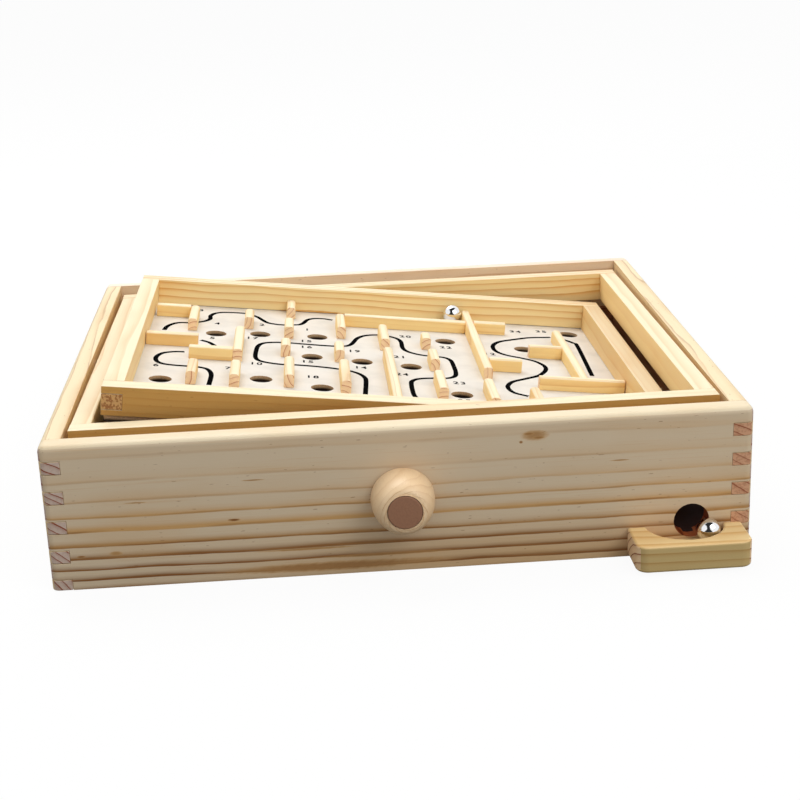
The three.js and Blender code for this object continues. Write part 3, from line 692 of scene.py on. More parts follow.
def grain(thing, along, across, heart, seed=0, matrix=BOX_MIDDLE):
    """Gives a wooden piece its grain.

    along and across are directions in the group's frame, and heart is where the tree's heart
    lies, in millimetres across the grain. The seed moves the piece along its plank.
    """
    along, across = np.array(along, float), np.array(across, float)
    up = np.cross(along, across)
    local = points_of(thing.data, matrix)
    wooden = np.stack([local @ along + seed * 317.0, local @ across - heart[0],
                       local @ up - heart[1]], -1)
    store_grain(thing.data, wooden, along, matrix)


def hand_over(thing, body, slot, *nodes):
    """Rides a finished piece on its body, in place of the CAD nodes that it stands for."""
    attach(thing, body)
    if nodes:
        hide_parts(*nodes)
    return thing


# Walls: direction of the grain, direction across it, and the tree's heart across the grain
ACROSS_X = ((1, 0, 0), (0, 1, 0))
ALONG_Y = ((0, 1, 0), (0, 0, 1))
WALLS = {
    "front_wall": (*ACROSS_X, (-150.0, 116.7), 0),
    "back_wall": (*ACROSS_X, (190.0, -35.0), 2),
    "left_wall": (*ALONG_Y, (-40.0, -215.0), 3),
    "right_wall": (*ALONG_Y, (-42.0, 122.0), 4),
}
FRONT_HEART = WALLS["front_wall"][2][1]
# Marks on the front wall: x from the middle, height, half length, half height, depth
FRONT_MARKS = (
    (-83.0, 32.4, 3.2, 0.75, 1.0), (-159.0, 17.6, 2.4, 0.6, 0.8), (-141.9, 18.4, 3.2, 1.2, 0.35),
    (66.0, 67.6, 6.5, 2.8, 0.45), (59.1, 64.5, 1.0, 0.8, 0.8), (-34.0, 4.6, 55.0, 2.6, 0.55),
    (63.0, 68.6, 2.6, 0.8, 0.6), (68.0, 66.4, 3.2, 0.7, 0.6),
    (108.0, 52.1, 5.0, 0.4, 0.5), (-72.4, 52.8, 5.5, 0.4, 0.6), (-130.0, 44.5, 6.0, 0.4, 0.5),
    (-8.0, 9.4, 34.0, 0.9, 0.5), (-48.0, 14.6, 24.0, 0.7, 0.4),
)

# The woods: their settings for wood(), in which each colour goes by its name
WALL_PINE = dict(face="side_wall", band="band", core="core", end="end", end_line="end_line",
                 painted_side_tint="side_upright", fleck=0.6)
RAIL_PINE = dict(face="rail", band="rail_band", core="core", end="rail_end", end_line="core",
                 painted_side_tint="rail_upright", even=0.35, end_rings=0.15, pitting=0.7, rough=0.48)
WOODS = {
    "front_pine": dict(
        WALL_PINE, face="wall", painted_side_tint="wall_upright", band="front_band", core="front_core",
        spread=35.8, softness=1.5, hardness=0.7, streak=0.3, even=0.75, sway=3.0, unrest=0.3,
        fade=(32 - FRONT_HEART, 50 - FRONT_HEART, 0.25), low_reddening=0.9,
        marks=[(x, z - FRONT_HEART, *rest) for x, z, *rest in FRONT_MARKS]),
    # Painted light: the back wall takes a paler face colour than the side walls.
    "back_pine": dict(WALL_PINE, face="back_wall", ring=5.0),
    "left_pine": dict(WALL_PINE, ring=3.4, softness=0.6, end_rings=1.9, pitting=0.1),
    "right_pine": dict(WALL_PINE, end="red_end", ring=3.6, softness=0.6),
    "side_rail_pine": dict(RAIL_PINE, ring=5.5, softness=0.4, hardness=0.03),
    "tan_rail_pine": dict(RAIL_PINE, face="tan_rail", ring=4.0, softness=0.3, hardness=0.04),
    "back_rail_pine": dict(RAIL_PINE, painted_side_tint="back_upright", ring=2.8, softness=1.0,
                           hardness=0.12),
    "front_rail_pine": dict(RAIL_PINE, painted_side_tint="front_rail", ring=3.0, softness=0.3,
                            hardness=0.05, fleck=0.5),
    "catch_pine": dict(face="catch", band="rail_band", core="core", end="strip_end",
                       end_line="end_line", painted_side_tint="catch_upright", ring=4.4, softness=0.7,
                       hardness=0.1, even=0.5, pitting=0.05),
    "strip_pine": dict(face="strip", band="rail_band", core="core", end="strip_end",
                       end_line="strip_line", painted_side_tint="strip_upright", ring=3.0, softness=0.4,
                       hardness=0.15, end_rings=0.85, pitting=0.05),
    "knob_beech": dict(face="knob", band="knob_line", core="knob_line", end="knob",
                       end_line="knob_line", ring=2.2, softness=0.35, hardness=0.2, streak=0.3,
                       rough=0.36, coat=0.3),
}
OTHER_FINISHES = {
    "plug_wood": (plain_wood, "plug", 1.6, 0.42),
    "dowel_wood": (plain_wood, "knob", 2.5, 0.55),
    "hardboard": (plain_wood, "hardboard", 30.0, 0.7),
    "board_print": (board_print, "print_white", "hole_rim", "hole_deep"),
    "ink": (ink, "ink"),
    "elastic": (braided, "elastic"),
    "steel": (steel, "steel", 0.32, 0.01),
    "chrome": (steel, "chrome", 0.05, 0.002),
}
FINISHES = {}


def finish_of(name):
    """The material of that name, made from the scene's settings when first asked for."""
    def looked_up(value):
        if isinstance(value, str):
            return tuple(getattr(bpy.context.scene.ball_maze_colours, value))
        return value

    if name in WOODS and name not in FINISHES:
        FINISHES[name] = wood(name, **{k: looked_up(v) for k, v in WOODS[name].items()})
    elif name not in FINISHES:
        maker, *values = OTHER_FINISHES[name]
        FINISHES[name] = maker(name, *map(looked_up, values))
    return FINISHES[name]


# Operators

class BALLMAZE_OT_stage(bpy.types.Operator):
    """Camera, lamps, white surroundings and the floor that the box stands on"""
    bl_idname = "ball_maze.stage"
    bl_label = "Stage"

    def execute(self, context):
        settings = context.scene.ball_maze_stage
        context.scene.view_settings.view_transform = "Standard"
        self.camera(context, settings.lens)
        self.floor()
        self.room(context, settings.fill)
        self.lamp("key_lamp", (-0.35, 0.75, 1.5), 1.2, settings.key)
        self.lamp("front_lamp", (0.98, -1.0, 1.35), 1.2, settings.front)
        return {"FINISHED"}

    def camera(self, context, lens):
        """The photograph's camera: it looks along yaw and pitch, then rolls about its axis."""
        data = bpy.data.cameras.new("photo_camera")
        data.lens, data.sensor_width, data.sensor_fit = lens, 36, "HORIZONTAL"
        data.clip_end = 20
        eye = link("photo_camera", data)
        yaw, pitch, roll = (math.radians(v) for v in (3.09, 18.83, -2.20))
        where = place(np.array([-38.1, -876.3, 335.2]))
        eye.matrix_world = (Matrix.Translation(where) @ Matrix.Rotation(-yaw, 4, "Z")
                            @ Matrix.Rotation(math.pi / 2 - pitch, 4, "X")
                            @ Matrix.Rotation(roll, 4, "Z"))
        context.scene.camera = eye

    def floor(self):
        """White to the camera and to metal, and dim where it would light the box from below."""
        half = 6.0
        mesh = bpy.data.meshes.new("floor")
        mesh.from_pydata([(-half, -half, 0), (half, -half, 0), (half, half, 0), (-half, half, 0)],
                         [], [(0, 1, 2, 3)])
        paint = Paint(bpy.data.materials.new("floor_white"))
        seen = paint.light_path("Is Camera Ray")
        paint.finish(Base_Color=paint.mix((0.2, 0.2, 0.2), (0.95, 0.95, 0.95), seen),
                     Roughness=0.9)
        glow = paint.node("ShaderNodeEmission", {}, {0: (1.0, 1.0, 1.0), 1: 1.0})
        diffuse = Wire(paint, paint.shader.outputs[0])
        mixed = paint.node("ShaderNodeMixShader", {}, {0: seen * 0.94, 1: diffuse, 2: glow})
        paint.feed(paint.tree.nodes["Material Output"], "Surface", mixed)
        mesh.materials.append(paint.owner)
        link("floor", mesh)

    def room(self, context, fill):
        """White to the camera. Metal sees two white screens, and a dark room between them.

        The dark is a band in front, wider near the floor, that runs into the dark overhead.
        """
        world = bpy.data.worlds.new("white_room")
        paint = Paint(world)
        x, y, z = paint.split(paint.node("ShaderNodeTexCoord", {}, {}, "Generated"))
        reach = 0.62 - paint.smooth(z, 0.0, 0.6) * 0.36
        band = 1.0 - paint.smooth((x + 0.2).math("ABSOLUTE") - reach, -0.06, 0.0)
        dark = band.math("MAXIMUM", paint.smooth(z, 0.8, 0.9)) * paint.smooth(-1.0 * y, -0.3, -0.1)
        mirrored = 1.0 - dark * 0.97
        seen = paint.light_path("Is Camera Ray")
        gloss = paint.light_path("Is Glossy Ray")
        level = seen + (1.0 - seen) * (gloss * mirrored + (1.0 - gloss) * fill)
        background = paint.tree.nodes["Background"]
        paint.feed(background, "Color", (1.0, 1.0, 1.0))
        paint.feed(background, "Strength", level)
        context.scene.world = world

    def lamp(self, name, where, size, power):
        data = bpy.data.lights.new(name, "AREA")
        data.size = size
        data.energy = power
        lamp = link(name, data)
        lamp.location = where
        lamp.rotation_euler = (-Vector(where)).to_track_quat("-Z", "Y").to_euler()


class BALLMAZE_OT_box(bpy.types.Operator):
    """Four finger-jointed walls, the sloping floor and the glued catch tray"""
    bl_idname = "ball_maze.box"
    bl_label = "Box"

    def execute(self, context):
        easing = context.scene.ball_maze_sizes.wall_easing
        for node, (along, across, heart, seed) in WALLS.items():
            pine = finish_of(node.replace("wall", "pine"))
            # Each wall is cut at HIDDEN_BELOW, where its painted shade inside begins.
            wall = eased_copy(node, node + "_wood", pine, easing,
                              cuts=[(place((0, 0, HIDDEN_BELOW)), (0, 0, 1))])
            grain(wall, along, across, heart, seed)
            # Painted shade in the exit hole and low inside the box.
            self.store_painted_shade(wall.data)
            hand_over(wall, "box", "pine", node)
        tray = eased_copy("catch_tray", "catch_tray_wood", finish_of("catch_pine"),
                          CATCH_EASING * MM, 3)
        grain(tray, *ACROSS_X, (-190.0, -18.0), 5)
        hand_over(tray, "box", "pale_pine", "catch_tray")
        # The floor's near-black brown is partly painted shade inside the box.
        floor = eased_copy("floor_panel", "floor_hardboard", finish_of("hardboard"),
                           PANEL_EASING * MM)
        grain(floor, *ACROSS_X, (0.0, -400.0), 6)
        hand_over(floor, "box", "plywood", "floor_panel")
        return {"FINISHED"}

    def store_painted_shade(self, mesh):
        """Paints shade on the faces in the exit hole, and less strongly on the inner faces low in
        the box.
        """
        middles = read(mesh.polygons, "center", size=3).reshape(-1, 3)
        x, y, z = in_group(middles, BOX_MIDDLE).T
        across = np.abs(facing(mesh, BOX_MIDDLE)[:, 1]) < 0.5
        in_exit = (np.hypot(x - EXIT_X, z - EXIT_Z) < EXIT_RADIUS + 0.1) & (y < 0) & across
        reach = BOX[:2] / 2 - WALL + 0.1
        low = (np.abs(x) < reach[0]) & (np.abs(y) < reach[1]) & (z < HIDDEN_BELOW)
        corner_values(mesh, "hollow", np.where(in_exit, 1.0, low * 0.75))


RAIL_FINISHES = {
    "front": "front_rail_pine", "back": "back_rail_pine", "left": "side_rail_pine",
    "right": "side_rail_pine", "tray_rail_right": "tan_rail_pine",
}


class BALLMAZE_OT_rails(bpy.types.Operator):
    """Rails of the gimbal frame and of the maze tray"""
    bl_idname = "ball_maze.rails"
    bl_label = "Frame and tray rails"

    def execute(self, context):
        easing = context.scene.ball_maze_sizes.rail_easing
        hearts = {"left": (14.0, 22.0), "right": (-20.0, 12.0), "front": (16.0, -26.0),
                  "back": (-24.0, -14.0)}
        for group, matrix, seed in (("frame", FRAME_PLACE, 10), ("tray", TRAY_PLACE, 20)):
            outer = points_of(NODES[f"{group}_rail_front"].data, matrix).max(0)[:2]
            outer[1] = points_of(NODES[f"{group}_rail_left"].data, matrix).max(0)[1]
            for offset, (side, heart) in enumerate(hearts.items()):
                node = f"{group}_rail_{side}"
                corners = points_of(NODES[node].data, matrix)
                low, high = corners.min(0), corners.max(0)
                middle = (high + low) / 2
                ends = side in ("front", "back")
                along, across = ((1, 0, 0), (0, 1, 0)) if ends else ((0, 1, 0), (-1, 0, 0))
                thickness = (high - low)[1 if ends else 0]
                cuts = [(place((x, 0, 0), matrix), matrix.to_3x3() @ Vector((1, 0, 0)))
                        for x in (thickness - outer[0], outer[0] - thickness) if ends]
                finish = finish_of(RAIL_FINISHES.get(node) or RAIL_FINISHES[side])
                rail = eased_copy(
                    node, node + "_wood", finish, easing, 3, cuts,
                    lambda points: self.shares(points, matrix, low, high, outer, thickness))
                at = (heart[0] + middle @ np.array(across), heart[1] + middle[2])
                grain(rail, along, across, at, seed + offset, matrix)
                hand_over(rail, group, "pale_pine", node)
        return {"FINISHED"}

    def shares(self, points, matrix, low, high, outer, thickness):
        """Long edges and outer corners get the whole easing, and joints a small part of it."""
        local = in_group(points, matrix)
        touching = (np.abs(local - low) < TOUCH) | (np.abs(local - high) < TOUCH)
        rim = touching[:, 2] & touching[:, :2].any(1)
        flat = np.abs(local[:, :2])
        joint = (flat > outer - thickness - TOUCH).all(1)
        outside = flat > outer - TOUCH
        bold = (rim & (~joint | outside.any(1))) | outside.all(1)
        return np.where(bold, 1.0, JOINT_SHARE)


# Maze strips, as the solids have them: direction, start, end and place across, in shares of
# half the tray's inside width and depth. Strips that meet in one node butt on each other.
STRIP_SHARES = {
    "strip_back_left": (("x", -0.989, -0.797, 0.743), ("y", 0.454, 0.743, -0.817)),
    "strip_left": (("x", -0.997, -0.778, 0.149),),
    "strip_left_corner": (("x", -0.807, -0.606, -0.074), ("y", -0.099, 0.354, -0.606)),
    "strip_b": (("y", 0.552, 0.739, -0.571),),
    "strip_c_back": (("y", 0.82, 0.997, -0.383),),
    "strip_c_second": (("y", 0.398, 0.595, -0.392),),
    "strip_c_third": (("y", 0.032, 0.167, -0.406),),
    "strip_c_front": (("y", -0.505, -0.18, -0.391),),
    "strip_a_front": (("y", -0.541, -0.315, -0.778),),
    "strip_b_front": (("y", -0.552, -0.298, -0.607),),
    "strip_spine": (("y", 0.459, 0.748, -0.16), ("x", -0.18, 0.438, 0.748),
                    ("y", -0.18, 0.997, 0.438), ("x", 0.438, 0.605, 0.761),
                    ("x", 0.438, 0.599, 0.009)),
    "strip_d_middle": (("y", -0.009, 0.169, -0.178),),
    "strip_d_front": (("y", -0.559, -0.177, -0.165),),
    "strip_e_back": (("y", 0.267, 0.568, 0.027),),
    "strip_e_front": (("y", -0.766, 0.1, 0.029),),
    "strip_f_back": (("y", 0.333, 0.45, 0.212),),
    "strip_f_middle": (("y", -0.077, 0.122, 0.223),),
    "strip_f_front": (("y", -0.58, -0.275, 0.222),),
    "strip_g_front": (("y", -0.703, -0.378, 0.418),),
    "strip_right_corner": (("x", 0.665, 0.831, 0.311), ("y", -0.282, 0.658, 0.831),
                           ("x", 0.639, 0.997, -0.282)),
    "strip_h_front": (("y", -0.766, -0.486, 0.596),),
}


class BALLMAZE_OT_strips(bpy.types.Operator):
    """Maze strips glued on the board"""
    bl_idname = "ball_maze.strips"
    bl_label = "Maze strips"

    def execute(self, context):
        sizes = context.scene.ball_maze_sizes
        draw = np.random.default_rng(7)
        height = STRIP_HEIGHT + STRIP_REACH
        for node, bars in STRIP_SHARES.items():
            skins, wooden, directions = [], [], []
            for run, start, end, across in bars:
                level = 0 if run == "x" else 1
                ends = np.array([start, end]) * TRAY_INSIDE[level] / 2
                if run == "x":
                    ends = ends + self.butts(ends, bars)
                centre = np.array([0, 0, BOARD_TOP + height / 2])
                centre[level] = ends.mean()
                centre[1 - level] = across * TRAY_INSIDE[1 - level] / 2
                shape = bar(ends[1] - ends[0], STRIP_WIDTH, height, sizes.strip_easing / MM,
                            sizes.strip_foot / MM)
                along = (1, 0, 0) if run == "x" else (0, 1, 0)
                side = (0, 1, 0) if run == "x" else (-1, 0, 0)
                skin = turn(shape, along, side, (0, 0, 1), centre)
                faces = capped(skin)
                skins.append((place(skin, TRAY_PLACE), faces))
                bearing = draw.uniform(0, 2 * math.pi)
                heart = draw.uniform(6, 16) * np.array([math.cos(bearing), math.sin(bearing)])
                wooden.append(shape.reshape(-1, 3) + [draw.uniform(0, 9000), *heart])
                directions.append(np.tile(np.array(along, float), (len(faces), 1)))
            strip = make(node + "_wood", skins, finish_of("strip_pine"))
            store_grain(strip.data, np.concatenate(wooden), np.concatenate(directions),
                        TRAY_PLACE)
            hand_over(strip, "tray", "golden_pine", node)
        return {"FINISHED"}

    def butts(self, ends, bars):
        """How far each end of a strip along x draws back from the side of one that it meets."""
        back = np.zeros(2)
        for run, _, _, across in bars:
            gap = across * TRAY_INSIDE[0] / 2 - ends
            meets = (np.abs(gap) < STRIP_WIDTH / 2) & (run == "y")
            back += np.where(meets, gap + np.array([1, -1]) * STRIP_WIDTH / 2, 0)
        return back


# The printed route: points in millimetres on the board. It breaks where strips cover it.
ROUTE_POINTS = (
    ((80, -47), (73, -42), (70.5, -35), (71, -28), (75, -20), (83, -13), (91, -6), (95, 0),
     (98, 7), (99, 13), (98, 19), (94, 26), (87, 31), (78, 36), (73, 43), (72, 52), (74, 60),
     (79, 67), (89, 74), (99, 80), (113, 84)),
    ((116, 83), (122, 79), (126, 73), (127.5, 66), (125, 1)),
    ((-129, 48), (-128, 56), (-125, 63), (-121, 67), (-115, 68), (-111, 70), (-106, 74),
     (-103, 80), (-103, 88), (-100, 95), (-94, 98.5), (-83, 99), (-79, 97), (-74, 92), (-70, 84),
     (-67, 79), (-62, 76.5), (-57, 76), (-51, 77.5), (-47, 79), (-44.5, 84), (-42, 92),
     (-38, 96), (-32, 97), (-26, 95)),
    ((-106, 30), (-101, 26), (-97, 19)),
    ((-114, 3), (-120, 2), (-126, -2), (-129, -10), (-128.5, -18), (-125, -23), (-119, -25),
     (-112, -25.5), (-105, -26), (-100, -28.5), (-97.5, -34), (-96.5, -42), (-97, -59)),
    ((-53, 35), (-62, 34.5), (-69, 31), (-72, 24), (-73, 12), (-73, 0), (-71, -6), (-66, -9.5),
     (-58, -11.5), (-51, -11), (-41, -11.5), (-34, -12.5), (-27, -14), (-19, -17), (-14, -21.5),
     (-11, -28), (-10.5, -36), (-12, -61)),
    ((-53, 35), (-40, 34), (-28, 33.5), (-21, 34.5), (-17, 38), (-14.5, 45), (-12, 54),
     (-8, 60.5), (-3, 64), (2, 65), (8, 63.5), (13, 59), (15, 52), (15, 40), (16.5, 33),
     (20.5, 28), (27, 24.5), (35, 23.5), (40, 21.5), (42.5, 16), (43, 6), (43, -8), (41.5, -16),
     (37, -20.5), (29, -22), (21, -24.5), (16.5, -29), (15, -36), (15, -56), (17, -64)),
)
# Numbers printed beside the holes: text and place on the board in millimetres
NUMBER_MARKS = (
    ("3", -109.5, 100), ("4", -98, 70), ("2", -70.5, 73), ("1", -42.5, 68), ("5", -99.5, 36),
    ("17", -76, 41), ("15", -43.5, 41), ("16", -43.5, 28), ("15", -43, -3), ("6", -128, -27),
    ("7", -88, -25), ("10", -72.5, -13), ("18", -40.5, -33), ("19", -15, 25), ("14", -12.5, -9),
    ("20", 18.5, 65), ("21", 12, 18), ("24", 11, -18), ("22", 42, 45), ("23", 43, -29),
    ("25", 42.5, -62), ("12", 68, 36), ("34", 91.5, 93), ("35", 109, 97),
)


class BALLMAZE_OT_board(bpy.types.Operator):
    """The printed maze board with its route line and its numbers"""
    bl_idname = "ball_maze.board"
    bl_label = "Printed board"

    def execute(self, context):
        sizes = context.scene.ball_maze_sizes
        board = eased_copy("maze_board", "maze_board_print", finish_of("board_print"),
                           PANEL_EASING * MM)
        corner_values(board.data, "printed", facing(board.data, TRAY_PLACE)[:, 2] > 0.9)
        below = board.data.attributes.new("below", "FLOAT", "POINT")
        below.data.foreach_set("value", BOARD_TOP - points_of(board.data, TRAY_PLACE)[:, 2])
        hand_over(board, "tray", "printed_board", "maze_board")
        self.route(sizes.route_width / MM, sizes.print_height / MM)
        self.numbers(sizes.digit_height, sizes.print_height)
        return {"FINISHED"}

    def route(self, width, height):
        """Each stretch is a flat band: a smooth path with a low oblong carried along it."""
        skins = []
        for stretch in ROUTE_POINTS:
            path = through([(x, y, BOARD_TOP + PRINT_LIFT) for x, y in stretch], 1.2)
            side = np.cross(UP, unit(np.gradient(path, axis=0))) * width / 2
            rise = np.array([0, 0, height])
            band = np.stack([path - side, path + side, path + side + rise, path - side + rise], 1)
            skins.append((place(band, TRAY_PLACE), capped(band)))
        line = make("route_line", skins, finish_of("ink"))
        hand_over(line, "tray", "printed_board")

    def numbers(self, digit_height, print_height):
        for count, (text, x, y) in enumerate(NUMBER_MARKS):
            curve = bpy.data.curves.new("number_draft", "FONT")
            curve.body, curve.size = text, digit_height * DIGIT_SHARE
            curve.space_character = 1.25
            curve.offset, curve.extrude, curve.resolution_u = 0.14 * MM, print_height / 2, 3
            curve.align_x = curve.align_y = "CENTER"
            draft = link("number_draft", curve)
            graph = bpy.context.evaluated_depsgraph_get()
            mesh = bpy.data.meshes.new_from_object(draft.evaluated_get(graph))
            bpy.data.objects.remove(draft)
            z = (BOARD_TOP + PRINT_LIFT) * MM + print_height / 2
            mesh.transform(TRAY_PLACE @ Matrix.Translation((x * MM, y * MM, z)))
            with editing(mesh) as body:
                bmesh.ops.remove_doubles(body, verts=body.verts, dist=0.0005 * MM)
            mark = settle(f"number_{count + 1:02d}", mesh, finish_of("ink"))
            hand_over(mark, "tray", "printed_board")


class BALLMAZE_OT_knobs(bpy.types.Operator):
    """Turned knobs with their plugs and wooden shafts"""
    bl_idname = "ball_maze.knobs"
    bl_label = "Knobs and shafts"

    def execute(self, context):
        for name, out, side, base, depth in (
                ("front", (0, -1, 0), (1, 0, 0), (0, -BOX[1] / 2, FRONT_SHAFT_Z), BOX[1]),
                ("side", (1, 0, 0), (0, 1, 0), (BOX[0] / 2, 0, SIDE_SHAFT_Z), BOX[0])):
            third = np.cross(out, side)
            for label, profile, steps, finish, slot, node, heart in (
                    ("knob_turned", self.knob_profile(), 72, "knob_beech", "beech", "knob",
                     (3.0, -2.0)),
                    ("plug_turned", self.plug_profile(), 72, "plug_wood", "dark_wood",
                     "knob_plug", (5.0, 4.0)),
                    ("shaft_dowel", self.shaft_profile(depth), 48, "dowel_wood", "dowel",
                     "shaft", (6.0, 2.0))):
                label = f"{name}_{label}"
                points = turn(revolved(profile, steps), side, third, out, base)
                made = make(label, [(place(points), capped(points))], finish_of(finish))
                middle = np.array([np.dot(base, side), np.dot(base, third)])
                grain(made, out, side, middle + heart, len(label))
                hand_over(made, f"{name}_knob", slot, f"{name}_{node}")
        return {"FINISHED"}

    def shaft_profile(self, depth):
        """A dowel with eased rims, from inside the far wall to inside the knob."""
        outer, inner = KNOB_FOOT + KNOB_SOCKET, -(depth - WALL + SHAFT_SEAT)
        return np.array([
            (0, inner), (SHAFT_RADIUS - 0.4, inner), (SHAFT_RADIUS, inner + 0.4),
            (SHAFT_RADIUS, outer - 0.4), (SHAFT_RADIUS - 0.4, outer), (0, outer)])

    def knob_profile(self):
        """Back edge, quarter ellipse to the end, eased rim, socket, and the bore's mouth."""
        angle = np.linspace(0, math.pi / 2, 28)
        dome = np.stack([9.1 + 6.7 * np.cos(angle), 2.2 + 18.4 * np.sin(angle)], -1)
        rim = np.array([(9.0, 20.95), (8.85, 21.0), (8.72, 20.9), (8.7, 20.6), (8.7, 18.0),
                        (0, 18.0)])
        back = np.array([(0, 0.6), (14.0, 0.6), (14.6, 0.7), (15.2, 1.05), (15.6, 1.6)])
        return np.concatenate([back, dome, rim])

    def plug_profile(self):
        """A low drum with a round rim, and a face that bulges by 1 minus the radius squared."""
        edge = np.linspace(0, math.pi / 2, 6)
        rim = np.stack([8.0 + 0.4 * np.cos(edge), 20.9 + 0.4 * np.sin(edge)], -1)
        radius = np.linspace(7.6, NEAR_AXIS, 8)
        face = np.stack([radius, 21.3 + 0.12 * (1 - (radius / 8.0) ** 2)], -1)
        return np.concatenate([[(0, 18.3), (8.4, 18.3)], rim, face])


class BALLMAZE_OT_steel(bpy.types.Operator):
    """Balls, pivot pins, hooks and guide eyes"""
    bl_idname = "ball_maze.steel"
    bl_label = "Steel"

    def execute(self, context):
        for node in ("maze_ball", "catch_ball"):
            low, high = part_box(node)
            centre = (np.array(low) + np.array(high)) / 2
            angle = np.linspace(0, math.pi, 33)
            radius = (high[2] - low[2]) / 2 / MM
            arc = radius * np.stack([np.sin(angle), -np.cos(angle)], -1)
            ball = revolved(arc, 64)
            made = make(node + "_polished", [(ball * MM + centre, capped(ball))],
                        finish_of("chrome"))
            hand_over(made, node, "chrome", node)
        frame_x, height = (BOX[0] - FRAME_GAP) / 2 - WALL, PIVOT.z / MM
        for node, body, gap, out, matrix, centre in (
                ("frame_pivot_left", "box", FRAME_GAP, (-1, 0, 0), BOX_MIDDLE,
                 (-frame_x, 0, height)),
                ("frame_pivot_right", "box", FRAME_GAP, (1, 0, 0), BOX_MIDDLE,
                 (frame_x, 0, height)),
                ("tray_pivot_front", "frame", TRAY_GAP, (0, -1, 0), FRAME_PLACE,
                 (0, -TRAY_PIN_Y, 0)),
                ("tray_pivot_back", "frame", TRAY_GAP, (0, 1, 0), FRAME_PLACE,
                 (0, TRAY_PIN_Y, 0))):
            shape = turn(revolved(self.pin_profile(gap), 32), UP, np.cross(out, UP), out, centre)
            made = make(node + "_turned", [(place(shape, matrix), capped(shape))],
                        finish_of("steel"))
            hand_over(made, body, "steel", node)
        for node, thing in NODES.items():
            if "hook" in node or "eye" in node:
                for slot in thing.material_slots:
                    slot.material = finish_of("steel")
        return {"FINISHED"}

    def pin_profile(self, gap):
        """A pin with eased tips, and a collar in the middle that nearly fills the gap."""
        collar, end = gap / 2 - SEAT_GAP, gap / 2 + PIN_SEAT
        half = np.array([(0, end), (PIN_RADIUS - 0.3, end), (PIN_RADIUS, end - 0.3),
                         (PIN_RADIUS, collar), (COLLAR_RADIUS - 0.25, collar),
                         (COLLAR_RADIUS, collar - 0.2)])
        return np.concatenate([half, half[::-1] * [1, -1]])[::-1]


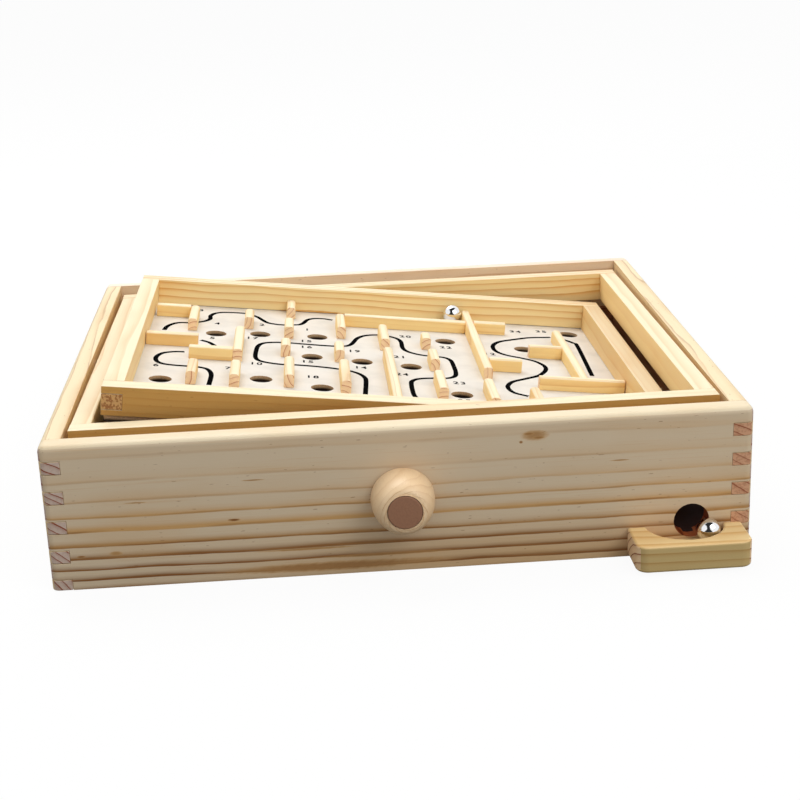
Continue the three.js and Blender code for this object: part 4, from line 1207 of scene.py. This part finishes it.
class BALLMAZE_OT_cords(bpy.types.Operator):
    """Elastic cords, wound on the shafts and looped on the hooks"""
    bl_idname = "ball_maze.cords"
    bl_label = "Cords"

    def execute(self, context):
        radius = context.scene.ball_maze_sizes.cord / MM / 2
        tray_hooks = [self.hook(TRAY_PLACE, (side * TRAY_HOOK_X, -CORD_OFFSET, TRAY_HOOK_Z))
                      for side in (-1, 1)]
        frame_hooks = [self.hook(FRAME_PLACE, (CORD_OFFSET, side * FRAME_HOOK_Y, FRAME_HOOK_Z))
                       for side in (-1, 1)]
        self.cord("tray_cord", radius, Y_WAY, X_WAY, np.array([0, -CORD_OFFSET, FRONT_SHAFT_Z]),
                  TRAY_EYE_X, TRAY_EYE_Z, tray_hooks)
        self.cord("frame_cord", radius, X_WAY, Y_WAY, np.array([CORD_OFFSET, 0, SIDE_SHAFT_Z]),
                  FRAME_EYE_Y, FRAME_EYE_Z, frame_hooks)
        return {"FINISHED"}

    def hook(self, matrix, point):
        """A hook's place in box millimetres."""
        return np.array(BOX_MIDDLE.inverted() @ (matrix @ (Vector(point) * MM))) / MM

    def cord(self, name, radius, axis, way, centre, eye_way, eye_z, hooks):
        """The wound middle rides on the box, and each end bends up to its hook.

        The turns are a helix about the shaft: out by the cosine and the sine of its angle, and
        along by the angle's share of a turn. A straight leg runs from each side to its eye.
        """
        wind = SHAFT_RADIUS + SEAT_GAP + radius
        angle = np.linspace(0, CORD_TURNS * 2 * math.pi, 26 * CORD_TURNS)
        spread = (angle / (2 * math.pi) - CORD_TURNS / 2)[:, None] * 2.1 * radius * axis
        coil = centre + spread + wind * (np.cos(angle)[:, None] * UP
                                         + np.sin(angle)[:, None] * way)
        eyes = [centre * (1 - way) + side * eye_way * way for side in (-1, 1)]
        for eye in eyes:
            eye[2] = eye_z
        lows = [eye - UP * EYE_DROP for eye in eyes]
        legs = [np.linspace(low, top, 40)[:-1] for low, top in zip(lows, (coil[0], coil[-1]))]
        path = np.concatenate([legs[0], coil, legs[1][::-1]])
        wound = self.piece(name + "_wound", self.open_tube(path, radius, axis, 12))
        hand_over(wound, "box", "cord", name)
        for side, eye, low, hook in zip(("low", "high"), eyes, lows, hooks):
            self.end(f"{name}_end_{side}", name, radius, axis, eye, low, hook)

    def end(self, label, name, radius, axis, eye, low, hook):
        """From below the eye up to the hook, a few turns of whipping, and the loop."""
        foot = hook - UP * LOOP_RADIUS
        middle = eye + (foot - eye) * 0.5
        path = through([low, eye, middle, foot], 1.0)
        half = len(path) // 2
        body = name.removesuffix("_cord")
        spans = [("", "box", "frame", path, eye, foot)]
        if body == "tray":
            spans = [("_lower", "box", "frame", path[:half + 1], eye, middle),
                     ("_upper", "frame", "tray", path[half - 1:], middle, foot)]
        for suffix, below, above, part, start, end in spans:
            rise = self.piece(label + suffix, self.open_tube(part, radius, axis, 12))
            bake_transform(rise)
        turn_angle = np.linspace(0, 2 * math.pi, 33)[:-1]
        side = np.cross(axis, UP)
        loop = foot + UP * LOOP_RADIUS + LOOP_RADIUS * (
            -np.cos(turn_angle)[:, None] * UP + np.sin(turn_angle)[:, None] * side)
        whip = np.linspace(0, WHIP_TURNS * 2 * math.pi, 72)[:, None]
        lean = unit(foot - eye)
        ring = np.cross(lean, axis)
        knot = foot - lean * (whip / (2 * math.pi)) * WHIP_PITCH + WHIP_RADIUS * (
            np.cos(whip) * ring + np.sin(whip) * axis)
        fastening = self.piece(label + "_loop", self.closed_tube(loop, LOOP_CORD, axis),
                               self.open_tube(knot, WHIP_CORD, axis, 10))
        hand_over(fastening, body, "cord")

    def open_tube(self, path, radius, axis, sides):
        """A tube with an end at each side. Its side vector never lies along its path."""
        skin = tube(path, radius, axis + np.array([0.013, 0.017, 0.011]), sides)
        return place(skin), capped(skin)

    def closed_tube(self, path, radius, axis):
        """A tube whose last ring meets its first."""
        wrapped = np.concatenate([path[-1:], path, path[:1]])
        skin = tube(wrapped, radius, axis, 10)[1:-1]
        rows, columns = skin.shape[:2]
        faces = np.array(ring_faces(rows + 1, columns)) % (rows * columns)
        return place(skin), faces.tolist()

    def piece(self, name, *skins):
        """Braided cord. U counts threads along it and V goes round it, by the vertex order."""
        made = make(name, skins, finish_of("elastic"))
        columns = 12
        corners = read(made.data.loops, "vertex_index", int)
        braid = np.stack([corners // columns * THREAD_PITCH, corners % columns / columns * 4], -1)
        layer = made.data.uv_layers.new(name="cord")
        layer.uv.foreach_set("vector", braid.astype(np.float32).ravel())
        return made


class BALLMAZE_PT_panel(bpy.types.Panel):
    """Lists the maze's pieces"""
    bl_label = "Ball Maze"
    bl_idname = "BALLMAZE_PT_panel"
    bl_space_type = "VIEW_3D"
    bl_region_type = "UI"
    bl_category = "Ball Maze"

    def draw(self, context):
        for operator in OPERATORS:
            self.layout.operator(operator.bl_idname)


OPERATORS = (BALLMAZE_OT_stage, BALLMAZE_OT_box, BALLMAZE_OT_rails, BALLMAZE_OT_strips,
             BALLMAZE_OT_board, BALLMAZE_OT_knobs, BALLMAZE_OT_steel, BALLMAZE_OT_cords)
GROUPS = {"ball_maze_colours": BallMazeColours, "ball_maze_sizes": BallMazeSizes,
          "ball_maze_stage": BallMazeStage}
CLASSES = (*GROUPS.values(), *OPERATORS, BALLMAZE_PT_panel)


def register():
    for made in CLASSES:
        bpy.utils.register_class(made)
    for name, group in GROUPS.items():
        setattr(bpy.types.Scene, name, bpy.props.PointerProperty(type=group))


def unregister():
    for name in GROUPS:
        delattr(bpy.types.Scene, name)
    for made in reversed(CLASSES):
        bpy.utils.unregister_class(made)


def main():
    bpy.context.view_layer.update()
    register()
    for operator in OPERATORS:
        group, name = operator.bl_idname.split(".")
        getattr(getattr(bpy.ops, group), name)()


if __name__ == "__main__":
    main()
